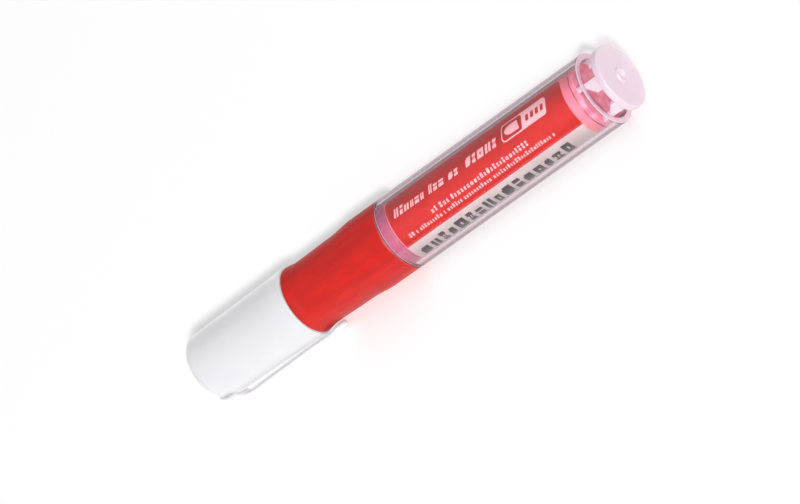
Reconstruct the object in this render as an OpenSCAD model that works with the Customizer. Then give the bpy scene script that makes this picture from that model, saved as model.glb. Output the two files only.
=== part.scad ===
// Refillable whiteboard marker with a clear barrel, lying on its side on a table.
//
// The pen runs along X, cap at -X and tail at +X, and the table is the plane Z = 0.
// The barrel and one edge of the pocket clip touch the table, so it cannot roll away.
// The origin is on the table, under the middle of the pen's bounding box.
//
// Every module draws its piece in the pen's own frame: Z is the pen's axis, counted
// from the closed end of the cap, and a point at 0 degrees around it faces the table.

/* [Barrel] */
// Outside diameter of the clear barrel tube
barrel_d = 19; // [18.6:0.1:20]
// Length of the barrel tube
barrel_l = 66; // [62:1:72]
// Wall thickness of the barrel tube
barrel_wall = 1.5; // [1.3:0.1:1.6]
// Angle that the printed film covers inside the tube
label_wrap = 290; // [240:5:330]
// Where the middle of the film's open strip faces, from the table side
window_angle = 130; // [0:5:355]

/* [Grip section] */
// Length of the coloured grip that shows between cap and barrel
grip_l = 31.3; // [28:0.1:36]
// Diameter of the shoulder that the cap's mouth closes on
shoulder_d = 17.9; // [17.6:0.1:18]
// Diameter of the narrow part, just behind the shoulder
waist_d = 17.2; // [17:0.1:17.5]
// Diameter of the fat part, in front of the barrel
grip_d = 18.76; // [18.2:0.02:18.9]

/* [Cap] */
// Length of the cap, without the clip's overhang
cap_l = 33.6; // [32.6:0.2:38]
// Outside diameter of the cap at its mouth
cap_mouth_d = 18.7; // [18.5:0.1:19]
// Outside diameter of the cap at its closed end
cap_end_d = 17.5; // [17.2:0.1:18]
// Radius of the rounded edge at the closed end
cap_edge_r = 3.4; // [2.4:0.2:4]
// Wall thickness of the cap
cap_wall = 1; // [0.8:0.1:1.1]

/* [Pocket clip] */
// Height of the clip's outer face above the pen's axis
clip_h = 11.4; // [11.2:0.1:12]
// Width of the clip
clip_w = 5.2; // [4:0.2:7]
// Thickness of the clip at its root
clip_t = 1.05; // [0.9:0.05:1.1]
// How far the clip reaches past the cap's mouth
clip_overhang = 5.4; // [3:0.2:6]

/* [Nib and feed] */
// Diameter of the bullet nib
nib_d = 4.6; // [4:0.1:5]
// How far the nib stands out of its holder
nib_reach = 6.5; // [5:0.5:7]
// Number of fins on the ink collector
fin_count = 18; // [10:1:20]

/* [Refill] */
// Outside diameter of the ink cartridge
cartridge_d = 14; // [13:0.2:14.4]
// Wall thickness of the ink cartridge
cartridge_wall = 0.8; // [0.6:0.1:1]
// Height of the ink's surface above the pen's axis, with the pen lying down
ink_level = 3.2; // [0:0.2:5]

/* [Tail] */
// Diameter of the pull disc
disc_d = 17; // [15:0.5:17.5]
// Thickness of the pull disc
disc_t = 1.8; // [1.4:0.1:2.4]
// Gap between the barrel's end and the pull disc
disc_gap = 3.7; // [3:0.1:4.5]
// Direction of the plane that the disc's legs mirror in, from the table side
leg_angle = 242; // [0:1:359]

/* [Hidden] */
$fn = 96;

// Fits: a slide that moves by hand, and the gap left between pieces that never touch
slide_gap = 0.05;
air_gap = 0.15;

// Stations along the pen
tube_front = cap_l + grip_l;
tube_end = tube_front + barrel_l;
disc_bottom = tube_end + disc_gap;
disc_top = disc_bottom + disc_t;
boss_h = 0.5;
overall_l = disc_top + boss_h;

// Barrel
barrel_r = barrel_d / 2;
bore_r = barrel_r - barrel_wall;
tube_edge = 0.35;
label_t = 0.15;
label_r = bore_r - 0.07;
label_start = tube_front + 3;
label_end = tube_end - 3.6;

// Cap
cap_mouth_r = cap_mouth_d / 2;
cap_end_r = cap_end_d / 2;
cap_floor = 1.4;
lip_r = 0.35;
land_start = cap_l - 3.6;
land_end = cap_l - 1.2;
land_ramp = 0.25;

// Grip section
plug_r = 8;
shoulder_r = shoulder_d / 2;
shoulder_a = cap_l + air_gap;
waist_r = waist_d / 2;
waist_a = cap_l + 3.3;
grip_r = grip_d / 2;
swell_start = tube_front - 16.4;
swell_l = 7.6;
slope_gain = 0.2;
nose_a = cap_l - 9.6;
nose_r = 5.8;
nose_l = 3.2;
holder_bore_r = 5;
chamber_r = 6.8;
chamber_a = nose_a + 5.5;
sleeve_front_r = 7.45;
sleeve_front = tube_front - 7.5;
sleeve_back = label_start - 0.2;

// Pocket clip
clip_root_a = 1.3;
clip_bow_a = 9.2;
clip_bend_a = cap_l - 4.6;
clip_drop = 0.3;
clip_bend_r = 45;
clip_end_a = cap_l + clip_overhang;
clip_tip_t = 0.72;
rest_roll = acos(barrel_r / norm([clip_h, clip_w / 2])) + atan2(clip_w / 2, clip_h);
clip_side = clip_h * sin(rest_roll) + clip_w / 2 * cos(rest_roll);
side_shift = (clip_side - barrel_r) / 2;

// Nib, holder and feed
nib_r = nib_d / 2;
holder_tip = nose_a - 10.5;
nib_tip = holder_tip - nib_reach;
nib_nose_l = 3.6;
nib_back = nib_tip + 30;
seal_r = 4.75;
seal_start = holder_tip + 4.5;
wick_r = 1.25;
wick_end = tube_front + 10;
collector_r = 6.6;
collar_r = chamber_r - slide_gap;
collector_front = nib_back + 0.6;
collector_back = tube_front - 5.4;
collar_l = 1.6;
fin_pitch = (collector_back - collector_front - 2 * collar_l) / (fin_count + 0.5);
fin_t = fin_pitch / 2;
spigot_r = 2.2;
spigot_base = collector_back + 0.2;
spigot_end = wick_end + 1.8;

// Refill
cartridge_r = cartridge_d / 2;
cartridge_in_r = cartridge_r - cartridge_wall;
cartridge_start = sleeve_back + 0.9;
cartridge_end = label_end - 0.7;
neck_r = 4.4;
neck_in_r = 3.4;
neck_l = 5;
shoulder_l = 2.6;
stopper_lip = 0.6;
grommet_r = 2.9;
grommet_l = 2.2;
ink_start = cartridge_start + neck_l + 0.4;
ink_end = cartridge_end - 7;

// Tail
disc_r = disc_d / 2;
flange_r = bore_r - 0.08;
flange_t = 1.2;
flange_a = label_end + 0.3;
floor_a = flange_a + flange_t;
plug_l = 5;
leg_r = flange_r;
leg_t = 1.3;
leg_w = 3.6;
post_w = 1.3;
leg_short = 2.1;
leg_spread = [-28.5, 28.5, 151.5, 208.5];
boss_r = 2;
dimple_r = 1.15;

// Points on an arc about c from one angle to another
function arc(c, r, from, to, n = 8) =
    [for (i = [0:n]) let (t = from + (to - from) * i / n) c + r * [cos(t), sin(t)]];

// S-shaped step from 0 to 1
function smooth(t) = let (u = min(1, max(0, t))) u * u * (3 - 2 * u);

// Outside of the grip: it narrows behind the shoulder and swells in front of the barrel
function grip_outside(a) = waist_r + slope_gain * smooth((a - waist_a) / 12)
    + (grip_r - waist_r - slope_gain) * smooth((a - swell_start) / swell_l);

// Inside of the cap, parallel to its tapered outside
function cap_inside(a) = cap_end_r - cap_wall
    + (cap_mouth_r - cap_end_r) * (a - cap_edge_r) / (cap_l - cap_edge_r);

// Places the pen's own frame on the table
module pen() {
    translate([-overall_l / 2, side_shift, barrel_r]) rotate([0, 90, 0]) children();
}

// Turns an outline of [radius, station] points about the axis
module turned(points) {
    rotate_extrude() polygon(points);
}

// Plain ring between two radii and two stations
module ring(r_in, r_out, from, to) {
    translate([0, 0, from]) difference() {
        cylinder(r = r_out, h = to - from);
        translate([0, 0, -1]) cylinder(r = r_in, h = to - from + 2);
    }
}

module cap_body() {
    inner_edge = cap_edge_r - cap_wall;
    turned(concat(
        [[0, 0]],
        arc([cap_end_r - cap_edge_r, cap_edge_r], cap_edge_r, -90, 0, 12),
        arc([cap_mouth_r - lip_r, cap_l - lip_r], lip_r, 0, 90, 4),
        [[cap_inside(cap_l) + 0.25, cap_l], [cap_inside(cap_l), cap_l - 0.6]],
        [[cap_inside(land_end), land_end + land_ramp], [plug_r + slide_gap, land_end]],
        [[plug_r + slide_gap, land_start], [cap_inside(land_start), land_start - land_ramp]],
        arc([cap_inside(0) - inner_edge, cap_floor + inner_edge], inner_edge, 0, -90, 8),
        [[0, cap_floor]]
    ));
}

// Side view of the clip, as [height above the axis, station]
function clip_side_view() = let (
        bow_r = 9, bend = asin((clip_end_a - clip_bend_a) / clip_bend_r),
        ramp = 32, low = clip_h - clip_drop,
        bow = [clip_h - bow_r, clip_bow_a], inner_bow = bow_r - clip_t,
        tip_in = clip_bend_r - clip_tip_t
    ) concat(
        [[cap_end_r - cap_edge_r * 0.35, clip_root_a]],
        arc(bow, bow_r, -ramp, 0, 6),
        arc([low - clip_bend_r, clip_bend_a], clip_bend_r, 0, bend, 8),
        arc([low - clip_bend_r, clip_bend_a], tip_in, bend, 0, 8),
        arc(bow, inner_bow, 0, -ramp, 6),
        [[cap_end_r - cap_wall / 2, clip_bow_a - 4.4], [cap_end_r - cap_edge_r * 0.6, clip_root_a + 1]]
    );

// Front view of the clip: a tongue with a round tip
module clip_front_view() {
    tip_r = clip_w / 2;
    translate([-clip_w / 2, 0]) square([clip_w, clip_end_a - tip_r]);
    translate([0, clip_end_a - tip_r]) circle(r = tip_r);
}

module clip() {
    rotate([0, 0, -rest_roll]) intersection() {
        rotate([90, 0, 0]) linear_extrude(height = clip_w + 2, center = true)
            polygon(clip_side_view());
        rotate([90, 0, 90]) linear_extrude(height = clip_h + 2) clip_front_view();
    }
}

module cap_shell() {
    color("whitesmoke") pen() union() {
        cap_body();
        clip();
    }
}

// Inner cap that keeps the nib wet: a cup on a base disc, centred by four fins
module cap_liner() {
    cup_r = seal_r + slide_gap;
    cup_wall = 0.9;
    base_r = 5.6;
    fin_a = 6;
    fin_l = 7;
    mouth = seal_start + 3;
    color("white") pen() {
        turned([[0, cap_floor], [base_r, cap_floor], [base_r, cap_floor + 1.2],
                [cup_r + cup_wall, cap_floor + 2.4], [cup_r + cup_wall, mouth - 0.4],
                [cup_r + cup_wall - 0.3, mouth], [cup_r, mouth], [cup_r, cap_floor + 2.6],
                [cup_r - 1, cap_floor + 1.4], [0, cap_floor + 1.4]]);
        for (turn = [0:90:270]) rotate([0, 0, turn]) translate([cup_r + cup_wall - 0.2, -0.4, fin_a])
            cube([cap_inside(fin_a) - cup_r - cup_wall + 0.2, 0.8, fin_l]);
    }
}

// Bullet nib of bonded fibre, with a chamfered back end
module nib() {
    color("firebrick") pen() turned(concat(
        [for (i = [0:10]) let (t = i / 10)
            [nib_r * sqrt(1 - pow(1 - t, 2)), nib_tip + nib_nose_l * t]],
        [[nib_r, nib_back - 0.6], [nib_r - 0.6, nib_back], [0, nib_back]]
    ));
}

module nib_holder() {
    flange_start = nose_a - 1.4;
    back = chamber_a - 0.4;
    color("white") pen() turned([
        [nib_r, holder_tip], [nib_r + 0.6, holder_tip], [nib_r + 0.9, holder_tip + 0.4],
        [seal_r - 0.5, seal_start - 0.8], [seal_r, seal_start], [seal_r, flange_start],
        [nose_r - 0.2, flange_start + 0.3], [nose_r - 0.2, nose_a],
        [holder_bore_r, nose_a], [holder_bore_r, back - 0.4], [holder_bore_r - 0.4, back],
        [nib_r, back]
    ]);
}

module grip_section() {
    shoulder_edge = 0.3;
    steps = 28;
    color("crimson") pen() turned(concat(
        [[holder_bore_r, nose_a]],
        [for (i = [0:8]) let (t = i / 8)
            [nose_r + (plug_r - nose_r) * sin(90 * t), nose_a + nose_l * (1 - cos(90 * t))]],
        [[plug_r, shoulder_a]],
        arc([shoulder_r - shoulder_edge, shoulder_a + shoulder_edge], shoulder_edge, -90, 0, 4),
        [for (i = [0:6]) let (t = i / 6)
            [shoulder_r + (waist_r - shoulder_r) * smooth(t), shoulder_a + 0.5
                + (waist_a - shoulder_a - 0.5) * t]],
        [for (i = [1:steps]) let (a = waist_a + (tube_front - 0.4 - waist_a) * i / steps)
            [grip_outside(a), a]],
        [[grip_r - 0.25, tube_front], [sleeve_front_r, tube_front],
         [sleeve_front_r, sleeve_front], [chamber_r, sleeve_front],
         [chamber_r, chamber_a], [holder_bore_r, chamber_a]]
    ));
}

// Comb of thin fins that holds ink back when the air in the cartridge expands
module ink_collector() {
    core_r = 3.4;
    slot_w = 0.5;
    color("ivory") pen() difference() {
        union() {
            translate([0, 0, collector_front]) cylinder(r = core_r, h = collector_back - collector_front);
            ring(core_r - 0.5, collar_r, collector_front, collector_front + collar_l);
            ring(core_r - 0.5, collar_r, collector_back - collar_l, collector_back);
            for (i = [0:fin_count - 1])
                ring(core_r - 0.5, collector_r, collector_front + collar_l + fin_pitch * (i + 0.5),
                     collector_front + collar_l + fin_pitch * (i + 0.5) + fin_t);
        }
        translate([0, 0, collector_front - 1])
            cylinder(r = wick_r, h = collector_back - collector_front + 2);
        translate([core_r, -slot_w / 2, collector_front + collar_l])
            cube([chamber_r, slot_w, collector_back - collector_front - 2 * collar_l]);
    }
}

module feed_wick() {
    color("indianred") pen() translate([0, 0, nib_back])
        cylinder(r = wick_r, h = wick_end - nib_back);
}

// Closes the collector chamber and opens the cartridge with its hollow point
module piercing_spigot() {
    disc = 1.8;
    color("white") pen() turned([
        [wick_r, spigot_base], [collar_r, spigot_base], [collar_r, spigot_base + disc],
        [spigot_r + 0.8, spigot_base + disc], [spigot_r, spigot_base + disc + 0.8],
        [spigot_r, spigot_end - 1.6], [wick_r + 0.25, spigot_end], [wick_r, spigot_end]
    ]);
}

// Pressed into the grip and into the tube, where it shows as a pale band
module joint_sleeve() {
    color("mistyrose") pen() turned([
        [chamber_r, sleeve_front], [sleeve_front_r, sleeve_front],
        [sleeve_front_r, tube_front], [bore_r, tube_front], [bore_r, sleeve_back - 0.3],
        [bore_r - 0.3, sleeve_back], [chamber_r, sleeve_back]
    ]);
}

module barrel_tube() {
    front = tube_front;
    color("pink", 0.4) pen() turned(concat(
        [[bore_r, front], [barrel_r - tube_edge, front]],
        arc([barrel_r - tube_edge, front + tube_edge], tube_edge, -90, 0, 4),
        arc([barrel_r - tube_edge, tube_end - tube_edge], tube_edge, 0, 90, 4),
        [[bore_r + 0.2, tube_end], [bore_r, tube_end - 0.2]]
    ));
}

// Printed film rolled inside the tube, open along one strip
module barrel_label() {
    open = 360 - label_wrap;
    color("red") pen() difference() {
        ring(label_r - label_t, label_r, label_start, label_end);
        rotate([0, 0, window_angle - open / 2]) translate([0, 0, label_start - 1])
            rotate_extrude(angle = open) square([bore_r + 1, label_end - label_start + 2]);
    }
}

// Long bottle with a neck at the front and an open back end
module cartridge_body() {
    front = cartridge_start;
    shoulder = front + neck_l;
    color("mistyrose", 0.5) pen() turned([
        [neck_in_r, front], [neck_r, front], [neck_r, shoulder],
        [cartridge_r - 0.6, shoulder + shoulder_l - 0.3], [cartridge_r, shoulder + shoulder_l + 0.8],
        [cartridge_r, cartridge_end], [cartridge_in_r, cartridge_end],
        [cartridge_in_r, shoulder + shoulder_l + 1.2], [neck_in_r, shoulder + 0.9]
    ]);
}

module cartridge_stopper() {
    front = cartridge_start - stopper_lip;
    color("white") pen() turned([
        [spigot_r + slide_gap, front], [neck_r, front], [neck_r, cartridge_start],
        [neck_in_r, cartridge_start], [neck_in_r, cartridge_start + neck_l - 0.4],
        [neck_in_r - 0.3, cartridge_start + neck_l], [grommet_r, cartridge_start + neck_l],
        [grommet_r, cartridge_start + neck_l - grommet_l],
        [spigot_r + slide_gap, cartridge_start + neck_l - grommet_l]
    ]);
}

// Rubber grommet inside the stopper, which wipes the spigot
module spigot_seal() {
    color("dimgray") pen() ring(spigot_r + slide_gap / 2, grommet_r,
        cartridge_start + neck_l - grommet_l, cartridge_start + neck_l);
}

// Ink lying in the cartridge, with a level surface and the spigot's end dipping in it
module ink_charge() {
    film = 0.05;
    r = cartridge_in_r - film;
    cone_end = cartridge_start + neck_l + shoulder_l + 1.2 + film;
    color("darkred") pen() difference() {
        turned([[0, ink_start + 1], [neck_in_r, ink_start + 1], [r, cone_end], [r, ink_end], [0, ink_end]]);
        translate([-cartridge_d - ink_level, -cartridge_d, ink_start - 1])
            cube([cartridge_d, 2 * cartridge_d, ink_end - ink_start + 2]);
        translate([0, 0, ink_start]) cylinder(r = spigot_r + 0.3, h = spigot_end + 0.4 - ink_start);
    }
}

// One leg of the pull disc, flat on: a narrow post that widens towards the disc
function leg_front_view(grow) = let (
        side = leg_w / 2 + grow, inner = leg_w / 2 - post_w - grow
    ) [[side, flange_a], [side, disc_bottom + 0.2], [-side, disc_bottom + 0.2],
       [-side, tube_end + leg_short], [inner, tube_end], [inner, flange_a]];

// The four legs, in two mirrored pairs, as slices of a ring
module legs(grow) {
    intersection() {
        ring(leg_r - leg_t - grow, leg_r + grow, flange_a - 0.5, disc_bottom + 0.1);
        for (i = [0:3])
            rotate([0, 0, leg_angle + leg_spread[i]]) mirror([0, 1 - i % 2, 0])
                rotate([90, 0, 90]) linear_extrude(height = disc_r)
                    polygon(leg_front_view(grow));
    }
}

// Closes the cartridge's back end, and centres it in the barrel
module cartridge_end_plug() {
    r = cartridge_in_r - slide_gap;
    wall = 1;
    start = cartridge_end - plug_l;
    color("lightpink") pen() difference() {
        turned([
            [r - wall, start], [r - 0.3, start], [r, start + 0.6], [r, cartridge_end],
            [cartridge_r, cartridge_end], [cartridge_r, flange_a], [flange_r, flange_a],
            [flange_r, floor_a], [0, floor_a], [0, flange_a], [r - wall, cartridge_end]
        ]);
        legs(0.02);
    }
}

module tail_disc() {
    edge = 0.5;
    color("lavenderblush") pen() {
        legs(0);
        turned(concat(
            [[0, disc_bottom]],
            arc([disc_r - edge / 2, disc_bottom + edge / 2], edge / 2, -90, 0, 3),
            arc([disc_r - edge, disc_top - edge], edge, 0, 90, 5),
            [[boss_r, disc_top], [boss_r - 0.2, overall_l], [dimple_r + 0.2, overall_l],
             [dimple_r, disc_top - 0.4], [0, disc_top - 0.4]]
        ));
    }
}

cap_shell();
cap_liner();
nib();
nib_holder();
grip_section();
ink_collector();
feed_wick();
piercing_spigot();
joint_sleeve();
barrel_tube();
barrel_label();
cartridge_body();
cartridge_stopper();
spigot_seal();
ink_charge();
cartridge_end_plug();
tail_disc();
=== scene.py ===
"""Looks of a refillable whiteboard marker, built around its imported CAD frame.

Lengths are in millimetres along the pen's own axis, counted from the closed end of the cap,
and angles are in degrees around it, from straight up towards -Y. Meshes are made in metres.
"""

import sys
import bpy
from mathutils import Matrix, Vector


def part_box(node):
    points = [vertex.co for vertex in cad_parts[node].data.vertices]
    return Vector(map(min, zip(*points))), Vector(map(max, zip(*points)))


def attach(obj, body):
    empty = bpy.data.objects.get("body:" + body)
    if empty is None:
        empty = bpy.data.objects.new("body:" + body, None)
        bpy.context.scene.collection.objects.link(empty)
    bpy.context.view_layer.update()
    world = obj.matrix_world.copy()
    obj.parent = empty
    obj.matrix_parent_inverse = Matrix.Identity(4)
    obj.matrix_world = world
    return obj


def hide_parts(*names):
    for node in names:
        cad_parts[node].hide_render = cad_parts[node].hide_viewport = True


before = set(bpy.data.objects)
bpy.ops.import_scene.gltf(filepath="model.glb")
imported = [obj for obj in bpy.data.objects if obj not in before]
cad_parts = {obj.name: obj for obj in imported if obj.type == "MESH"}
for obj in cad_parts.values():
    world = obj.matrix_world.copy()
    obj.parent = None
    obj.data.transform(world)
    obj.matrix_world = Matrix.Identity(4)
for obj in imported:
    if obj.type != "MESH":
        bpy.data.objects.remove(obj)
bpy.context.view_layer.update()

import logging
import math
from dataclasses import dataclass, field
from enum import Enum
from typing import Iterable, Sequence

import bmesh
import bpy
from mathutils import Matrix, Vector

MM = 0.001
log = logging.getLogger("marker")

# A radius below this, in mm, lies on the axis.
TINY = 1e-6
# Greatest share of a side of an outline that one arc may take.
MAX_REACH = 0.49
# Distance past an arc of the point that holds the straight, in mm and as a share of what is left.
HOLD = 0.06
HOLD_SHARE = 0.6
# Edges of a plate that turn by more than this, in radians, are bevelled.
SHARP_EDGE = 0.6

Point = tuple[float, float]
Rgb = tuple[float, float, float]
Direction = tuple[float, float, float]
Feeds = dict[str | int, object]


# ---------------------------------------------------------------- places on the pen

@dataclass(frozen=True)
class PenAxis:
    """Where the pen's axis lies, in metres, and how places around it are found."""

    front: float
    side: float
    height: float

    @classmethod
    def of_frame(cls) -> "PenAxis":
        """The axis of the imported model, through the barrel tube and from the cap's end."""
        low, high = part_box("barrel_tube")
        cap_low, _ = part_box("cap_shell")
        return cls(cap_low.x, (low.y + high.y) / 2, (low.z + high.z) / 2)

    def at(self, station: float, radius: float, angle: float) -> Vector:
        """A place on the pen.

        Args:
            station: Distance along the axis from the cap's closed end, in mm.
            radius: Distance from the axis, in mm.
            angle: Turn around the axis from straight up towards -Y, in degrees.

        Returns:
            The place in the frame, in metres.
        """
        turn = math.radians(angle)
        return Vector((
            self.front + station * MM,
            self.side - radius * MM * math.sin(turn),
            self.height + radius * MM * math.cos(turn),
        ))

    def span(self, node: str) -> Point:
        """First and last station of a CAD node, in mm."""
        low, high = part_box(node)
        return (low.x - self.front) / MM, (high.x - self.front) / MM

    def radius(self, node: str) -> float:
        """Outside radius of a round CAD node, in mm."""
        low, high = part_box(node)
        return (high.z - low.z) / 2 / MM


PEN = PenAxis.of_frame()


# ---------------------------------------------------------------- outlines and meshes

@dataclass(frozen=True)
class Corner:
    """A corner of an outline, as two coordinates in mm and the radius that rounds it."""

    u: float
    v: float
    round: float = 0.0


def rounded(corners: Sequence[Corner], closed: bool = True, steps: int = 5) -> list[Point]:
    """Replaces the corners of an outline by arcs.

    Args:
        corners: The corners in order.
        closed: True if the last corner is joined to the first.
        steps: Straight stretches in each arc.

    Returns:
        The outline's points.
    """
    points: list[Point] = []
    count = len(corners)
    for i, corner in enumerate(corners):
        here = Vector((corner.u, corner.v))
        at_end = not closed and i in (0, count - 1)
        if corner.round <= 0 or at_end:
            points.append((corner.u, corner.v))
            continue
        before = Vector((corners[i - 1].u, corners[i - 1].v)) - here
        after_corner = corners[(i + 1) % count]
        after = Vector((after_corner.u, after_corner.v)) - here
        half = before.angle(after) / 2
        reach = corner.round / math.tan(half)
        reach = min(reach, MAX_REACH * before.length, MAX_REACH * after.length)
        radius = reach * math.tan(half)
        inward = (before.normalized() + after.normalized()).normalized()
        middle = here + inward * (radius / math.sin(half))
        start = here + before.normalized() * reach - middle
        end = here + after.normalized() * reach - middle
        sweep = start.angle_signed(end)
        lead = here + before.normalized() * (reach + hold_of(before.length, reach))
        points.append((lead.x, lead.y))
        for k in range(steps + 1):
            spoke = start.copy()
            spoke.rotate(Matrix.Rotation(-sweep * k / steps, 2))
            points.append((middle.x + spoke.x, middle.y + spoke.y))
        trail = here + after.normalized() * (reach + hold_of(after.length, reach))
        points.append((trail.x, trail.y))
    return points


def hold_of(length: float, reach: float) -> float:
    """How far past an arc a point is set, in mm, so that the straight beside it shades flat."""
    return min(HOLD, HOLD_SHARE * (0.5 * length - reach))


def smooth_step(t: float) -> float:
    """S-shaped step from 0 to 1."""
    t = min(1.0, max(0.0, t))
    return t * t * (3 - 2 * t)


def turned(outline: Sequence[Point], around: int = 144, sweep: float = 360.0,
           start: float = 0.0) -> bmesh.types.BMesh:
    """Turns an outline of (station, radius) points about the pen's axis.

    Args:
        outline: Points in mm. A point on the axis becomes a pole.
        around: Steps around the axis.
        sweep: How far round the shape goes, in degrees.
        start: Where it starts, in degrees.

    Returns:
        A closed shell.
    """
    mesh = bmesh.new()
    whole = sweep >= 360.0
    columns = around if whole else around + 1
    rings: list[list[bmesh.types.BMVert]] = []
    for station, radius in outline:
        if radius < TINY:
            rings.append([mesh.verts.new(PEN.at(station, 0.0, 0.0))] * columns)
        else:
            rings.append([mesh.verts.new(PEN.at(station, radius, start + sweep * i / around))
                          for i in range(columns)])
    open_ends = outline[0][1] < TINY and outline[-1][1] < TINY
    pairs = list(zip(rings, rings[1:]))
    if not open_ends:
        pairs.append((rings[-1], rings[0]))
    for first, second in pairs:
        for i in range(around):
            j = (i + 1) % columns
            face = list(dict.fromkeys((first[i], first[j], second[j], second[i])))
            if len(face) > 2:
                mesh.faces.new(face)
    if not whole:
        for column in (0, around):
            mesh.faces.new(list(dict.fromkeys(ring[column] for ring in rings)))
    tidy(mesh)
    return mesh


def turned_open(outline: Sequence[Point], around: int) -> bmesh.types.BMesh:
    """Turns an outline about the axis and leaves its two ends open.

    Args:
        outline: (station, radius) points, in mm.
        around: Facets of a full turn.

    Returns:
        An open shell.
    """
    mesh = bmesh.new()
    rings = [[mesh.verts.new(PEN.at(station, radius, 360 * i / around)) for i in range(around)]
             for station, radius in outline]
    for first, second in zip(rings, rings[1:]):
        for i in range(around):
            j = (i + 1) % around
            mesh.faces.new((first[i], first[j], second[j], second[i]))
    return mesh


def tidy(mesh: bmesh.types.BMesh, gap: float = 1e-7) -> None:
    """Merges doubled vertices and turns all faces outwards."""
    bmesh.ops.remove_doubles(mesh, verts=mesh.verts, dist=gap)
    bmesh.ops.recalc_face_normals(mesh, faces=mesh.faces)


def wrapped_plate(outline: Sequence[Point], inner: float, outer: float, edge: float = 0.0,
                  pitch: float = 0.5) -> bmesh.types.BMesh:
    """A plate with any outline, wrapped round the pen's axis.

    Args:
        outline: Points as (station, distance round the outer face), in mm.
        inner: Radius of its inner face, in mm.
        outer: Radius of its outer face, in mm.
        edge: Width of the bevel along its edges, in mm.
        pitch: Greatest width of a facet round the axis, in mm.

    Returns:
        A closed shell.
    """
    mesh = bmesh.new()
    mesh.faces.new([mesh.verts.new((u, v, 0.0)) for u, v in outline])
    low = min(v for _, v in outline)
    high = max(v for _, v in outline)
    cuts = int((high - low) / pitch)
    for i in range(1, cuts):
        everything = mesh.verts[:] + mesh.edges[:] + mesh.faces[:]
        bmesh.ops.bisect_plane(mesh, geom=everything, plane_no=(0, 1, 0),
                               plane_co=(0, low + (high - low) * i / cuts, 0))
    flat = mesh.faces[:]
    raised = bmesh.ops.extrude_face_region(mesh, geom=flat, use_keep_orig=True)["geom"]
    for vert in (v for v in raised if isinstance(v, bmesh.types.BMVert)):
        vert.co.z = outer - inner
    tidy(mesh, 1e-5)
    if edge > 0:
        sharp = [e for e in mesh.edges if e.calc_face_angle(0.0) > SHARP_EDGE]
        bmesh.ops.bevel(mesh, geom=sharp, offset=edge, segments=2, profile=0.5, affect="EDGES",
                        clamp_overlap=True)
    for vert in mesh.verts:
        u, v, w = vert.co
        vert.co = PEN.at(u, inner + w, math.degrees(v / outer))
    tidy(mesh)
    return mesh


def joined(meshes: Iterable[bmesh.types.BMesh]) -> bmesh.types.BMesh:
    """Puts several meshes into one.

    Args:
        meshes: The meshes; each is freed.

    Returns:
        One mesh that holds them all.
    """
    whole = bmesh.new()
    for mesh in meshes:
        data = bpy.data.meshes.new("part")
        mesh.to_mesh(data)
        mesh.free()
        whole.from_mesh(data)
        bpy.data.meshes.remove(data)
    return whole


# Cells across and up a printed mark.
MARK_WIDE, MARK_HIGH = 5, 6
# Distance between the marks before they are placed, in mark widths.
MARK_PITCH = 2.0
# Share of the marks that are low.
LOW_SHARE = 0.6


class MarkShape(Enum):
    """Shapes of printed marks: the cells left out of a plate 5 wide and 6 high, from its foot."""

    WINDOW = ((2, 2), (2, 3))
    PAIR = ((2, 0), (2, 1), (2, 2), (2, 3), (2, 4), (2, 5))
    BLOCK = ((0, 5), (4, 0))
    BANDS = ((0, 3), (1, 3), (2, 3), (3, 3), (4, 3))
    NICKED = ((0, 2), (4, 2), (0, 3), (4, 3), (2, 2), (2, 3))


# ---------------------------------------------------------------- node trees

class TreeKind(Enum):
    """Which of Blender's node editors a tree belongs to."""

    SHAPE = "GeometryNodeTree"
    SURFACE = "ShaderNodeTree"


class Kind(Enum):
    """Types of a group's sockets."""

    NUMBER = "NodeSocketFloat"
    WHOLE = "NodeSocketInt"
    VECTOR = "NodeSocketVector"
    COLOUR = "NodeSocketColor"
    MESH = "NodeSocketGeometry"
    MATERIAL = "NodeSocketMaterial"


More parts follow.
